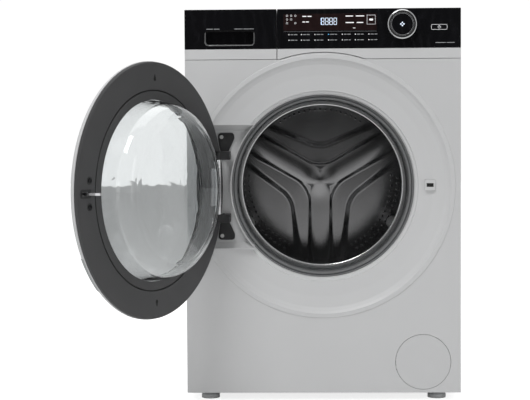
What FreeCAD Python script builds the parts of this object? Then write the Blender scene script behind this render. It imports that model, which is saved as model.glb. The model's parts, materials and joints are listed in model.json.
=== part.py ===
import FreeCAD, Part
import math
import os
import Sketcher
from types import SimpleNamespace

# Front load washing machine. Millimetres. +X is to the right as seen from the front, +Y goes to the
# back and +Z up. The origin is on the floor, at the centre of the four feet.

doc = FreeCAD.newDocument("WashingMachine")
sheet = doc.addObject("Spreadsheet::Sheet", "Sizes")

DRIVING_SIZES = {
    # cabinet
    "width": (595, "overall width"),
    "height": (850, "overall height, floor to worktop"),
    "depth": (560, "front panel to rear panel"),
    "foot_gap": (18, "floor to the underside of the cabinet"),
    "sheet_wall": (1.0, "painted steel sheet"),
    "wall": (2.5, "moulded plastic wall"),
    "worktop_thick": (26, "worktop with its edge"),
    "run_gap": (0.06, "radial play of a shaft in its bore"),
    "flange": (14, "width of folded sheet edges"),
    # control strip
    "strip_tall": (107.5, "control strip with its lower edge"),
    "lens_tall": (85.5, "black part of the control strip"),
    "strip_deep": (30, "depth of the control strip"),
    "lens_thick": (2, "black front plate"),
    "drawer_wide": (199.5, "drawer front"),
    "seam": (1.5, "seam between drawer front and control panel"),
    "handle_wide": (108, "handle recess, width"),
    "handle_tall": (33, "handle recess, height"),
    "handle_side": (43.5, "cabinet side to handle recess"),
    "handle_top": (45, "worktop to handle recess"),
    "knob_side": (126.5, "cabinet side to knob axis"),
    "knob_drop": (35, "worktop to knob axis"),
    "knob_radius": (31.5, "chrome ring of the programme knob"),
    "start_radius": (24, "button inside the knob"),
    "power_side": (46.5, "cabinet side to power button"),
    "power_drop": (41, "worktop to power button"),
    "power_wide": (37.5, "power button, width"),
    "power_tall": (14, "power button, height"),
    # porthole and its moulded surround
    "ring_height": (467.5, "floor to the porthole axis"),
    "ring_radius": (279, "round opening of the front panel"),
    "dish_deep": (17, "depth of the dish at its inner edge"),
    "dish_radius": (208, "inner edge of the dish"),
    "mouth_radius": (199, "porthole opening"),
    "mouth_deep": (40, "depth of the porthole's turned-in lip"),
    "pocket_deep": (34, "depth of the relief pocket behind the hinge"),
    "pocket_tall": (268, "height of the relief pocket"),
    # door
    "door_radius": (260, "door"),
    "door_rest": (20, "front panel to the door's inner face, door closed"),
    "door_open": (118.5, "opening angle in the stored pose"),
    "door_thick": (22, "door without its glass bowl and its dome"),
    "axis_reach": (225.5, "hinge axis to door centre"),
    "axis_out": (11, "hinge axis in front of the front panel"),
    "bowl_radius": (183, "mouth of the glass bowl"),
    "bowl_end": (143, "flat end of the glass bowl"),
    "bowl_deep": (62, "depth of the glass bowl"),
    "glass_wall": (4, "glass of the bowl"),
    "pin_radius": (4, "hinge pin"),
    "knuckle_half": (41, "half height of the door's hinge knuckle"),
    "pin_show": (18, "chrome collar between knuckle and bracket"),
    "bracket_tall": (58, "hinge bracket"),
    "hook_reach": (232, "porthole axis to the door hook"),
    "hook_thick": (5, "door hook plate"),
    "trunnion_radius": (2.5, "door hook trunnion"),
    # drum and tub
    "drum_radius": (240, "drum"),
    "drum_deep": (108, "front panel to the drum's front rim"),
    "drum_long": (317, "drum"),
    "drum_mouth": (178, "drum opening"),
    "drum_wall": (1.0, "stainless drum sheet"),
    "tub_play": (14, "drum to tub wall"),
    "tub_wall": (3, "tub wall"),
    "neck_radius": (196, "tub neck"),
    "spider_thick": (24, "spider arms"),
    "shaft_radius": (15, "drum shaft"),
    "hub_radius": (42, "bearing hub of the tub"),
    "rotor_radius": (124, "motor rotor"),
    "spring_side": (36, "cabinet side to spring axis"),
    "spring_radius": (13, "suspension spring"),
    "damper_side": (125, "cabinet side to damper axis"),
    "damper_radius": (6, "damper rod"),
    # bottom
    "pan_tall": (30, "base pan wall"),
    "foot_inset": (48, "cabinet edges to foot axes"),
    "foot_radius": (20, "foot pad"),
    "foot_thick": (12, "foot pad"),
    "stud_radius": (5, "foot stud"),
    "flap_side": (22, "cabinet side to the filter flap's rim"),
    "flap_lift": (7.5, "cabinet's lower edge to the filter flap's rim"),
    "flap_radius": (59.5, "filter flap"),
    "filter_radius": (30, "bore of the drain filter"),
    # rear
    "service_radius": (170, "rear service opening"),
    "inlet_radius": (13.2, "water inlet nose, G3/4"),
    "inlet_long": (14, "water inlet nose"),
    "outlet_radius": (10, "drain outlet spigot"),
    "outlet_long": (26, "drain outlet spigot"),
}


class Size:
    """A dimension that carries its value and the spreadsheet expression that gives it."""

    def __init__(self, value, text):
        self.value = float(value)
        self.text = text

    def __float__(self):
        return self.value

    def __add__(self, other):
        return Size(self.value + float(other), f"({self.text} + {size(other).text})")

    def __sub__(self, other):
        return Size(self.value - float(other), f"({self.text} - {size(other).text})")

    def __mul__(self, other):
        return Size(self.value * float(other), f"({self.text} * {size(other).text})")

    def __truediv__(self, other):
        return Size(self.value / float(other), f"({self.text} / {size(other).text})")

    def __neg__(self):
        return Size(-self.value, f"(0 - {self.text})")

    def __radd__(self, other):
        return size(other) + self

    def __rsub__(self, other):
        return size(other) - self

    def __rmul__(self, other):
        return size(other) * self


def size(value):
    return value if isinstance(value, Size) else Size(value, repr(float(value)))


def root(value):
    return Size(math.sqrt(float(value)), f"sqrt({value.text})")


def sine(angle):
    return Size(math.sin(math.radians(float(angle))), f"sin({size(angle).text} * 1 deg)")


def cosine(angle):
    return Size(math.cos(math.radians(float(angle))), f"cos({size(angle).text} * 1 deg)")


def read_sheet():
    """Fill the spreadsheet and give each driving size as a Size."""
    sizes = {}
    for row, (alias, (value, words)) in enumerate(DRIVING_SIZES.items(), start=1):
        sheet.set(f"A{row}", alias)
        sheet.set(f"B{row}", str(value))
        sheet.set(f"C{row}", words)
        sheet.setAlias(f"B{row}", alias)
        sizes[alias] = Size(value, "Sizes." + alias)
    doc.recompute()
    return SimpleNamespace(**sizes)


S = read_sheet()
nodes = []


# ---- ways to make a solid ------------------------------------------------------------------------

def bind(item, prop, value):
    item.setExpression(prop, size(value).text)


def place(item, x=0, y=0, z=0):
    for axis, value in zip("xyz", (x, y, z)):
        bind(item, "Placement.Base." + axis, value)
    return item


def block(low, high):
    """A box between two opposite corners."""
    box = doc.addObject("Part::Box", "Block")
    for prop, start, stop in zip(("Length", "Width", "Height"), low, high):
        bind(box, prop, size(stop) - start)
    return place(box, *low)


TURN_TO = {
    "x": FreeCAD.Rotation(FreeCAD.Vector(0, 1, 0), 90),
    "y": FreeCAD.Rotation(FreeCAD.Vector(1, 0, 0), -90),
    "z": FreeCAD.Rotation(),
}


def rod(along, radius, start, stop, x=0, y=0, z=0):
    """A round bar from start to stop along an axis; its place on that axis is ignored."""
    bar = doc.addObject("Part::Cylinder", "Rod")
    bind(bar, "Radius", radius)
    bind(bar, "Height", size(stop) - start)
    bar.Placement = FreeCAD.Placement(FreeCAD.Vector(), TURN_TO[along])
    spot = {"x": x, "y": y, "z": z}
    spot[along] = start
    return place(bar, **spot)


def cone(along, first_radius, last_radius, start, stop, x=0, y=0, z=0):
    """A truncated cone from start to stop along an axis."""
    bar = doc.addObject("Part::Cone", "Cone")
    bind(bar, "Radius1", first_radius)
    bind(bar, "Radius2", last_radius)
    bind(bar, "Height", size(stop) - start)
    bar.Placement = FreeCAD.Placement(FreeCAD.Vector(), TURN_TO[along])
    spot = {"x": x, "y": y, "z": z}
    spot[along] = start
    return place(bar, **spot)


def several(kind, items):
    if len(items) == 1:
        return items[0]
    result = doc.addObject(kind, "Joined")
    setattr(result, "Links" if kind == "Part::Compound" else "Shapes", list(items))
    return result


def fuse(*items):
    return several("Part::MultiFuse", items)


def common(*items):
    return several("Part::MultiCommon", items)


def group(*items):
    """Identical pieces that stay separate solids in one node."""
    return several("Part::Compound", items)


def cut(base, *tools):
    result = doc.addObject("Part::Cut", "Cut")
    result.Base = base
    result.Tool = fuse(*tools)
    return result


def ring(along, outer, inner, start, stop, **spot):
    """A round tube."""
    return cut(rod(along, outer, start, stop, **spot),
               rod(along, inner, size(start) - 1, size(stop) + 1, **spot))


PLANES = {"y": "XY_Plane", "z": "XZ_Plane", "plan": "XY_Plane", "front": "XZ_Plane", "side": "YZ_Plane"}


def facing(body, plane):
    """The body's own plane that an outline is drawn on."""
    for item in body.Origin.OriginFeatures:
        if item.Role == PLANES[plane]:
            return item


def drawn(body, plane, points):
    """A closed outline on one of the body's own planes. A point with a third value is reached by an
    arc of that radius: a positive radius turns left on the way there, a negative one right."""
    sketch = body.newObject("Sketcher::SketchObject", "Outline")
    sketch.AttachmentSupport = (facing(body, plane), [""])
    sketch.MapMode = "FlatFace"
    count = len(points)
    for index in range(count):
        start = FreeCAD.Vector(float(points[index][0]), float(points[index][1]), 0)
        target = points[(index + 1) % count]
        stop = FreeCAD.Vector(float(target[0]), float(target[1]), 0)
        if len(target) == 2:
            sketch.addGeometry(Part.LineSegment(start, stop))
            continue
        bend = float(target[2])
        chord = stop - start
        rise = abs(bend) - math.sqrt(bend * bend - chord.Length * chord.Length / 4)
        side = FreeCAD.Vector(chord.y, -chord.x, 0).normalize() * math.copysign(rise, bend)
        sketch.addGeometry(Part.Arc(start, (start + stop) / 2 + side, stop))
    for index in range(count):
        before = (index - 1) % count
        corner = edge_end(points, index, False)
        sketch.addConstraint(Sketcher.Constraint("Coincident", before, edge_end(points, before, True),
                                                 index, corner))
        for kind, value in zip(("DistanceX", "DistanceY"), points[index]):
            number = sketch.addConstraint(Sketcher.Constraint(kind, -1, 1, index, corner, float(value)))
            sketch.setExpression(f"Constraints[{number}]", size(value).text)
        target = points[(index + 1) % count]
        if len(target) == 3:
            bend = size(target[2])
            bend = bend if float(bend) > 0 else -bend
            number = sketch.addConstraint(Sketcher.Constraint("Radius", index, float(bend)))
            sketch.setExpression(f"Constraints[{number}]", bend.text)
    return sketch


def edge_end(points, index, last):
    """The number of an edge's last or first point. A sketch counts every arc anticlockwise."""
    target = points[(index + 1) % len(points)]
    backwards = len(target) == 3 and float(target[2]) < 0
    return 1 if last == backwards else 2


def lathe(along, points, x=0, z=0):
    """A body of revolution. Points are (radius, place along the axis); along is y or z."""
    body = doc.addObject("PartDesign::Body", "Turned")
    turn = body.newObject("PartDesign::Revolution", "Turn")
    turn.Profile = drawn(body, along, points)
    turn.ReferenceAxis = (turn.Profile[0], ["V_Axis"])
    turn.Angle = 360
    body.Tip = turn
    return place(body, x=x, z=z)


def plate(plane, points, start, stop):
    """An outline padded square to its plane, from start to stop: plan, front or side."""
    body = doc.addObject("PartDesign::Body", "Plate")
    pad = body.newObject("PartDesign::Pad", "Thickness")
    pad.Profile = drawn(body, plane, points)
    bind(pad, "Length", size(stop) - start)
    body.Tip = pad
    if plane == "front":
        return place(body, y=stop)
    return place(body, z=start) if plane == "plan" else place(body, x=start)


def rounded(left, bottom, right, top, radius):
    """The outline of a rectangle with round corners."""
    return [(left + radius, bottom, radius), (right - radius, bottom),
            (right, bottom + radius, radius), (right, top - radius),
            (right - radius, top, radius), (left + radius, top),
            (left, top - radius, radius), (left, bottom + radius)]


def node(label, item):
    """Register a finished sub-part under the name of its file."""
    item.Label = label
    nodes.append(item)
    return item


# ---- places that several pieces share -------------------------------------------------------------

half = S.width / 2
front = -S.depth / 2
back = S.depth / 2
bottom = S.foot_gap
deck = S.height - S.worktop_thick
strip_low = S.height - S.strip_tall
lens_low = S.height - S.lens_tall
strip_back = front + S.strip_deep
seam_x = S.drawer_wide - half
axis_z = S.ring_height
hinge_x = -S.axis_reach
hinge_y = front - S.axis_out
door_face = front - S.door_rest
knob_x = half - S.knob_side
knob_z = S.height - S.knob_drop
power_x = half - S.power_side
power_z = S.height - S.power_drop
flap_x = half - S.flap_side - S.flap_radius
flap_z = bottom + S.flap_lift + S.flap_radius
tub_inner = S.drum_radius + S.tub_play
tub_outer = tub_inner + S.tub_wall
drum_front = front + S.drum_deep
drum_back = drum_front + S.drum_long
spider_back = drum_back + S.drum_wall + S.spider_thick
tub_back = spider_back + 6
hub_back = tub_back + 42
rotor_back = hub_back + 8
tub_front = drum_front - 10
spring_x = half - S.spring_side
damper_x = half - S.damper_side
damper_low = bottom + 6
brace_low = deck - 22
inlet_x, inlet_z = -(half - 70), deck - 44
outlet_x, outlet_z = half - 60, deck - 60
gland_x, gland_z, gland_radius = half - 60, deck - 130, 11
lock_x, lock_z = S.hook_reach, axis_z + 1.5
slot_wide, slot_tall = 15, 8
frame_wide, frame_tall = 22, 23
spring_y = 80
foot_places = [(x, y) for x in (-(half - S.foot_inset), half - S.foot_inset)
               for y in (front + S.foot_inset, back - S.foot_inset)]
display_left, display_right = seam_x + 21, seam_x + 217.5
display_low, display_high = S.height - 48, S.height - 10
handle_left = S.handle_side - half
handle_right = handle_left + S.handle_wide
handle_high = S.height - S.handle_top
handle_low = handle_high - S.handle_tall
handle_deep = 20
tray_left, tray_right = 16 - half, seam_x - 13
tray_low, tray_high = strip_low + 8, deck - 12
tray_back = strip_back + 285
fill_x, fill_y = tray_left + 60, tray_back - 30
bracket_near = S.knuckle_half + S.pin_show
hook_x = S.hook_reach
hook_y = door_face - 6
hook_z = axis_z + 1.5
tub_seam_y = tub_front + 120
spout_low = axis_z - tub_outer + 2
ear_z = axis_z + 130
lug_z = axis_z - 206
lug_root = 104.5
damper_ys = (-30, 120)
pump_depth = 150
flap_pin_x = flap_x - S.flap_radius - 8
flap_pin_y = front + 4
flap_pin_radius = 1.4
hose_y = front + pump_depth - 20
hose_x = flap_x - S.filter_radius - 68


def turned(angle):
    """The placement that turns a piece about the porthole's axis, before it is moved there."""
    return FreeCAD.Placement(FreeCAD.Vector(), FreeCAD.Rotation(FreeCAD.Vector(0, 1, 0), angle))


def deep(distance):
    """The place at a distance behind the front panel's face."""
    return front + distance


# ---- cabinet --------------------------------------------------------------------------------------

def side_panels():
    """Two folded side sheets, each with an inward flange at the back."""
    wall = S.sheet_wall
    panels = []
    for side in (-1, 1):
        outer, inner, lip = side * half, side * (half - wall), side * (half - S.flange)
        panels.append(plate("plan", [
            (outer, front + wall), (outer, back), (inner, back), (inner, back - wall), (lip, back - wall),
            (lip, back - 2 * wall), (inner, back - 2 * wall), (inner, front + wall)], bottom, deck))
    strip_space = block((-half - 1, front - 1, strip_low - 0.4), (half + 1, strip_back + 0.4, deck + 1))
    return cut(group(*panels), strip_space)


def rear_panel():
    wall = S.sheet_wall
    sheet_metal = block((wall - half, back - wall, bottom), (half - wall, back, deck))
    openings = [
        rod("y", S.service_radius, back - 5, back + 5, z=axis_z),
        rod("y", S.inlet_radius + 1, back - 5, back + 5, x=inlet_x, z=inlet_z),
        rod("y", S.outlet_radius + 1, back - 5, back + 5, x=outlet_x, z=outlet_z),
        rod("y", gland_radius, back - 5, back + 5, x=gland_x, z=gland_z)]
    return cut(sheet_metal, *openings)


def rear_cover():
    """A pressed round cover over the rear service opening."""
    wall, rim, dome = S.sheet_wall, S.service_radius + 14, 9
    slope = S.service_radius - 20
    return lathe("y", [
        (0, back + dome - wall), (slope - 18, back + dome - wall), (slope, back), (rim, back),
        (rim, back + wall), (slope + 1, back + wall), (slope - 17, back + dome), (0, back + dome)], z=axis_z)


def front_panel():
    """The front sheet, with a bump over the door ring, and openings for the porthole and the filter."""
    wall, fold = S.sheet_wall, S.flange
    top = strip_low - 1
    bump = S.ring_radius + 9.5
    side = half - wall - 0.1
    sheet_metal = fuse(
        block((-half, front, bottom), (half, front + wall, top)),
        rod("y", bump, front, front + wall, z=axis_z),
        block((-side, front + wall, bottom), (wall - side, front + fold, top)),
        block((side - wall, front + wall, bottom), (side, front + fold, top)),
        block((wall - side, front + wall, bottom), (side - wall, front + fold, bottom + wall)))
    return cut(
        sheet_metal,
        rod("y", S.ring_radius + 1.5, front - 5, front + 5, z=axis_z),
        rod("y", S.flap_radius + 0.8, front - 5, front + 5, x=flap_x, z=flap_z))


def door_surround():
    """The moulded dish round the porthole, with the pocket that the door's edge swings into."""
    wall, mouth, dish = S.wall, S.mouth_radius, S.dish_radius
    flange_radius = S.ring_radius + 7
    throat = S.ring_radius - 0.5
    moulding = lathe("y", [
        (flange_radius, front), (flange_radius - 1, front - 1.5), (throat - 2, front - 1.5),
        (throat - 9, deep(4)), (dish, deep(S.dish_deep)), (mouth + 2.5, deep(S.dish_deep + 3)),
        (mouth, deep(S.dish_deep + 7)), (mouth, deep(S.mouth_deep)), (mouth + wall, deep(S.mouth_deep)),
        (mouth + wall, deep(S.dish_deep + 8)), (mouth + 4.5, deep(S.dish_deep + 5.6)),
        (dish + 1, deep(S.dish_deep + wall)), (throat - 7, deep(4 + wall)), (throat, front + 1.5),
        (throat, front)], z=axis_z)
    low, high = axis_z - S.pocket_tall / 2, axis_z + S.pocket_tall / 2
    reach, floor = S.ring_radius, deep(S.pocket_deep)
    shell = cut(
        common(block((-reach, deep(2), low - wall), (-reach / 3, floor + wall, high + wall)),
               rod("y", throat + 5, front, floor + wall, z=axis_z)),
        rod("y", mouth, front - 5, floor + 9, z=axis_z))
    hollow = cut(
        common(block((-reach - 9, front - 9, low), (-reach / 3, floor, high)),
               fuse(rod("y", throat + 0.3, front - 9, floor, z=axis_z),
                    rod("y", throat + 4, front - 9, front, z=axis_z))),
        rod("y", mouth + wall, front - 9, floor + 5, z=axis_z))
    lock_window = block((lock_x - frame_wide / 2 - 0.2, front, lock_z - frame_tall / 2 - 0.2),
                        (lock_x + frame_wide / 2 + 0.2, deep(30), lock_z + frame_tall / 2 + 0.2))
    return cut(fuse(moulding, shell), hollow, lock_window)


def worktop():
    """The top board, hollowed underneath so that its edge stands on the cabinet."""
    rim = 8
    board = plate("plan", rounded(-half, strip_back + 0.4, half, back, 4), deck, S.height)
    under = block((rim - half, strip_back + rim, deck - 1), (half - rim, back - rim, deck + 9))
    return cut(board, under)


def base_pan():
    """The moulded pan that closes the bottom and carries the feet."""
    wall, side, rear = 3, half - S.sheet_wall - 0.4, back - 2 * S.sheet_wall - 0.4
    nose = front + S.flange + 2
    shell = cut(
        block((-side, nose, bottom + S.sheet_wall), (side, rear, bottom + S.pan_tall)),
        block((wall - side, nose + wall, bottom + S.sheet_wall + wall),
              (side - wall, rear - wall, bottom + S.pan_tall + 1)))
    bosses = [rod("z", S.stud_radius + 9, bottom, bottom + S.pan_tall, x=x, y=y) for x, y in foot_places]
    holes = [rod("z", S.stud_radius + 0.1, bottom - 1, bottom + S.pan_tall + 1, x=x, y=y)
             for x, y in foot_places]
    return cut(fuse(shell, *bosses), *holes)


def suspension_crossbar():
    """A folded bar across the top that the tub's springs hang from."""
    side, wide = half - S.sheet_wall, 17
    fold = wide - 1.5
    bar = block((-side, spring_y - wide, brace_low), (side, spring_y + wide, deck))
    hollow = block((-side - 1, spring_y - fold, brace_low - 1), (side + 1, spring_y + fold, deck - 1.5))
    hangers = [block((x - 9, spring_y - wide, brace_low), (x + 9, spring_y + wide, brace_low + 3))
               for x in (-spring_x, spring_x)]
    return fuse(cut(bar, hollow), *hangers)


# ---- control strip ---------------------------------------------------------------------------------

def strip_shell(left, right):
    """A hollow moulded carrier between two places, open at the back, for a black front plate."""
    wall = S.wall
    ring_cut = S.ring_radius + 11
    outside = cut(
        block((left, front, strip_low), (right, strip_back, S.height)),
        rod("y", ring_cut, front - 5, strip_back + 5, z=axis_z))
    inside = cut(
        block((left + wall, front + S.lens_thick + wall, strip_low + wall),
              (right - wall, strip_back + 1, S.height - wall)),
        rod("y", ring_cut + wall, front - 5, strip_back + 5, z=axis_z))
    rebate = block((left - 1, front - 1, lens_low), (right + 1, front + S.lens_thick, S.height + 1))
    return cut(outside, inside, rebate)


def control_fascia():
    """The white carrier behind the black control panel, with its lower edge."""
    shaft = rod("y", S.knob_radius - 6, front - 1, front + 12, x=knob_x, z=knob_z)
    button = block((power_x - S.power_wide / 2, front - 1, power_z - S.power_tall / 2),
                   (power_x + S.power_wide / 2, front + 12, power_z + S.power_tall / 2))
    window = block((display_left, front - 1, display_low), (display_right, front + 12, display_high))
    return cut(strip_shell(seam_x + S.seam / 2, half), shaft, button, window)


def control_lens():
    """The black front plate of the control panel."""
    outline = rounded(seam_x + S.seam / 2, lens_low, half, S.height, 2)
    return cut(
        plate("front", outline, front, front + S.lens_thick),
        rod("y", S.knob_radius - 6, front - 1, front + 12, x=knob_x, z=knob_z),
        block((power_x - S.power_wide / 2, front - 1, power_z - S.power_tall / 2),
              (power_x + S.power_wide / 2, front + 12, power_z + S.power_tall / 2)))


def control_board():
    """The circuit board with its display block behind the window."""
    board = block((seam_x + 20, front + 19, lens_low + 6), (half - 12, front + 20.6, S.height - 7))
    display = block((display_left + 1, front + S.lens_thick + 0.3, display_low + 1),
                    (display_right - 1, front + 19, display_high - 1))
    encoder = rod("y", 9, front + 11, front + 19, x=knob_x, z=knob_z)
    switch = block((power_x - 6, front + 11, power_z - 4), (power_x + 6, front + 19, power_z + 4))
    return fuse(board, display, encoder, switch)


def knob_ring():
    """The turning chrome ring, with the sleeve that carries it."""
    outer, inner = S.knob_radius, S.start_radius + 0.5
    sleeve = S.knob_radius - 6.4
    return lathe("y", [
        (inner, front - 14), (outer - 2, front - 14), (outer, front - 12), (outer + 0.6, front - 0.6),
        (sleeve, front - 0.6), (sleeve, front + 9), (sleeve - 2, front + 9), (sleeve - 2, front - 2),
        (inner, front - 4)], x=knob_x, z=knob_z)


def start_button():
    """The round button in the middle of the knob."""
    cap = rod("y", S.start_radius, front - 13, front - 5, x=knob_x, z=knob_z)
    stem = rod("y", 6, front - 5, front + 9, x=knob_x, z=knob_z)
    return fuse(cap, stem)


def power_button():
    """The flat push button with its stem."""
    wide, tall = S.power_wide / 2 - 0.4, S.power_tall / 2 - 0.4
    outline = rounded(power_x - wide, power_z - tall, power_x + wide, power_z + tall, 3)
    cap = plate("front", outline, front - 1, front + 4)
    stem = block((power_x - 4, front + 4, power_z - 3), (power_x + 4, front + 9, power_z + 3))
    return fuse(cap, stem)


# ---- detergent drawer ------------------------------------------------------------------------------


def drawer_front():
    """The white carrier of the drawer's front, open where the handle cup stands."""
    wall = S.wall + 0.2
    cup_space = block((handle_left - wall, front, handle_low - wall),
                      (handle_right + wall, front + handle_deep + wall, handle_high + wall))
    return cut(strip_shell(-half, seam_x - S.seam / 2), cup_space)


def drawer_lens():
    """The black front plate of the drawer, with the handle cup moulded in."""
    wall, floor = S.wall, front + handle_deep
    outline = rounded(-half, lens_low, seam_x - S.seam / 2, S.height, 2)
    cup = block((handle_left - wall, front + 1, handle_low - wall),
                (handle_right + wall, floor + wall, handle_high + wall))
    hollow = plate("front", rounded(handle_left, handle_low, handle_right, handle_high, 9), front - 1, floor)
    return cut(fuse(plate("front", outline, front, front + S.lens_thick), cup), hollow)


def drawer_handle_trim():
    """The chrome line round the lower edge of the handle recess."""
    thick, top, gap = 2.2, handle_high - 5, 0.1
    left, right = handle_left + gap, handle_right - gap
    outer = plate("front", rounded(left, handle_low + gap, right, handle_high, 9), front - 0.8, front + 7)
    hole = rounded(left + thick, handle_low + thick, right - thick, handle_high + 9, 7)
    inner = plate("front", hole, front - 2, front + 9)
    over = block((handle_left - 1, front - 3, top), (handle_right + 1, front + 10, handle_high + 2))
    return cut(outer, inner, over)


def drawer_tray():
    """The detergent tray: three chambers, open at the top."""
    wall, floor = 2.2, tray_low + 2.2
    split = tray_left + (tray_right - tray_left) * 0.42
    body = block((tray_left, strip_back + 0.2, tray_low), (tray_right, tray_back, tray_high))
    chambers = [
        block((tray_left + wall, strip_back + 4, floor), (split, tray_back - wall, tray_high + 1)),
        block((split + wall, strip_back + 4, floor), (tray_right - wall, strip_back + 128, tray_high + 1)),
        block((split + wall, strip_back + 128 + wall, floor),
              (tray_right - wall, tray_back - wall, tray_high + 1))]
    tongue = block((tray_left + 20, front + handle_deep + wall + 3, tray_low + 3),
                   (tray_right - 20, strip_back + 0.2, tray_low + 6))
    return fuse(cut(body, *chambers), tongue)


def siphon_cap():
    """The softener chamber's lift-out siphon cover."""
    left = tray_left + (tray_right - tray_left) * 0.42 + 2.2
    low, high = strip_back + 20, strip_back + 110
    return fuse(
        block((left + 1, low, tray_high - 12), (tray_right - 3.2, high, tray_high - 9)),
        rod("z", 7, tray_low + 6, tray_high - 9, x=(left + tray_right) / 2, y=high - 20))


def dispenser_housing():
    """The moulded box that the tray slides in, open at the front."""
    gap, wall = 2, 2.5
    left, right = tray_left - gap, tray_right + gap
    low, high = tray_low - gap, tray_high + gap
    shell = cut(
        block((left - wall, strip_back + 3, low - wall), (right + wall, tray_back + 12, high + wall)),
        block((left, strip_back - 1, low), (right, tray_back + 12 - wall, high)))
    spout = ring("z", 17, 14, low - 22, low - wall, x=fill_x, y=fill_y)
    drain = rod("z", 14, low - 20, low + 1, x=fill_x, y=fill_y)
    return cut(fuse(shell, spout), drain)


# ---- rear fittings ---------------------------------------------------------------------------------

def inlet_valve():
    """The solenoid water valve with its threaded nose at the back."""
    nose = ring("y", S.inlet_radius, 8, back, back + S.inlet_long, x=inlet_x, z=inlet_z)
    neck = rod("y", S.inlet_radius, back - 8, back, x=inlet_x, z=inlet_z)
    body = block((inlet_x - 18, back - 46, inlet_z - 16), (inlet_x + 18, back - 6, inlet_z + 16))
    coil = rod("z", 14, inlet_z - 50, inlet_z - 16, x=inlet_x, y=back - 28)
    outlet = rod("y", 7, tray_back + 12, back - 46, x=inlet_x, z=inlet_z)
    return fuse(nose, neck, body, coil, outlet)


def drain_outlet():
    """The hose spigot that the pump empties through."""
    spigot = ring("y", S.outlet_radius, 7.5, back - 12, back + S.outlet_long, x=outlet_x, z=outlet_z)
    collar = ring("y", S.outlet_radius + 6, S.outlet_radius - 1, back - 12, back - S.sheet_wall - 0.1,
                  x=outlet_x, z=outlet_z)
    return fuse(spigot, collar)


def cable_gland():
    """The strain relief for the mains lead, which is not part of this model."""
    flange_ring = ring("y", gland_radius + 4, 5, back + 0.1, back + 4, x=gland_x, z=gland_z)
    bushing = ring("y", gland_radius - 0.3, 5, back - 10, back + 0.1, x=gland_x, z=gland_z)
    return fuse(flange_ring, bushing)


def cabinet_screws():
    """Round-head screws: the rear panel, the rear cover and the hinge brackets."""
    heads = []
    for side in (-1, 1):
        for level in (0.08, 0.5, 0.92):
            height = bottom + (deck - bottom) * level
            heads.append(screw(side * (half - S.flange / 2), back, height, 1))
        heads.append(screw(hinge_x + 5, deep(S.pocket_deep - 5), bracket_screw_z(side), -1))
    for number in range(6):
        angle = number * 60
        spread = S.service_radius + 8
        heads.append(screw(spread * cosine(angle), back + S.sheet_wall, axis_z + spread * sine(angle), 1))
    return group(*heads)


def screw(x, face, z, outward):
    """One pan-head screw standing on a face that looks to the back or to the front."""
    near, far = (face, face + 2.2) if outward > 0 else (face - 2.2, face)
    head = rod("y", 4.2, near, far, x=x, z=z)
    top = far if outward > 0 else near
    return cut(head, rod("y", 1.6, top - 1, top + 1, x=x, z=z))


# ---- door lock and hinge ---------------------------------------------------------------------------

def door_lock():
    """The lock behind the surround, with the framed slot that the door hook enters."""
    near, far = lock_x - 12, lock_x + 28
    body = block((near, deep(21), lock_z - 30), (far, deep(44), lock_z + 30))
    nozzle = block((lock_x - frame_wide / 2, deep(7), lock_z - frame_tall / 2),
                   (lock_x + frame_wide / 2, deep(21), lock_z + frame_tall / 2))
    slot = block((lock_x - slot_wide / 2, front, lock_z - slot_tall / 2),
                 (lock_x + slot_wide / 2, deep(38), lock_z + slot_tall / 2))
    return cut(fuse(body, nozzle), slot)


def bracket_screw_z(side):
    """The level of a bracket's screw, above or below the porthole axis."""
    return axis_z + side * (bracket_near + S.bracket_tall - 9)


def hinge_brackets():
    """Two mirrored brackets. Each stands on the pocket's floor and reaches forward to hold a pin."""
    brackets = []
    floor = deep(S.pocket_deep)
    inner_x = hinge_x + 12.5
    for side in (-1, 1):
        near, far = axis_z + side * bracket_near, axis_z + side * (bracket_near + S.bracket_tall)
        middle = axis_z + side * (bracket_near + 18)
        foot_outline = [(hinge_x + 6, near), (hinge_x + 22, near), (hinge_x + 36, far), (hinge_x - 3, far)]
        low, high = (near, middle) if side > 0 else (middle, near)
        base = plate("front", foot_outline, floor - 5, floor)
        arm = block((inner_x, hinge_y - 6, low), (inner_x + 12, floor, high))
        bridge = block((hinge_x, hinge_y - 6, low), (inner_x + 12, hinge_y + 6, high))
        eye = rod("z", 7, low, high, x=hinge_x, y=hinge_y)
        bore = rod("z", S.pin_radius, low - 1, high + 1, x=hinge_x, y=hinge_y)
        brackets.append(cut(fuse(base, arm, bridge, eye), bore))
    return group(*brackets)


def hinge_pins():
    """Two stepped chrome pins, held by the brackets; the door's knuckle turns on them."""
    pins = []
    for side in (-1, 1):
        places = [axis_z + side * distance for distance in
                  (S.knuckle_half - 16, S.knuckle_half + 0.3, bracket_near - 0.02, bracket_near + 18)]
        tip, collar_near, collar_far, end = places
        low, high = (tip, end) if side > 0 else (end, tip)
        collar_low, collar_high = (collar_near, collar_far) if side > 0 else (collar_far, collar_near)
        pins.append(fuse(rod("z", S.pin_radius, low, high, x=hinge_x, y=hinge_y),
                         rod("z", 6, collar_low, collar_high, x=hinge_x, y=hinge_y)))
    return group(*pins)


# ---- door ------------------------------------------------------------------------------------------

def hung(item):
    """Swing a piece of the door, drawn closed, to the stored open pose."""
    item.Placement = FreeCAD.Placement(item.Placement.Base, FreeCAD.Rotation(FreeCAD.Vector(0, 0, 1), -1))
    turn = -S.door_open
    x, y = hinge_x, hinge_y
    bind(item, "Placement.Rotation.Angle", turn)
    bind(item, "Placement.Base.x", x - x * cosine(turn) + y * sine(turn))
    bind(item, "Placement.Base.y", y - x * sine(turn) - y * cosine(turn))
    return item


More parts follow.
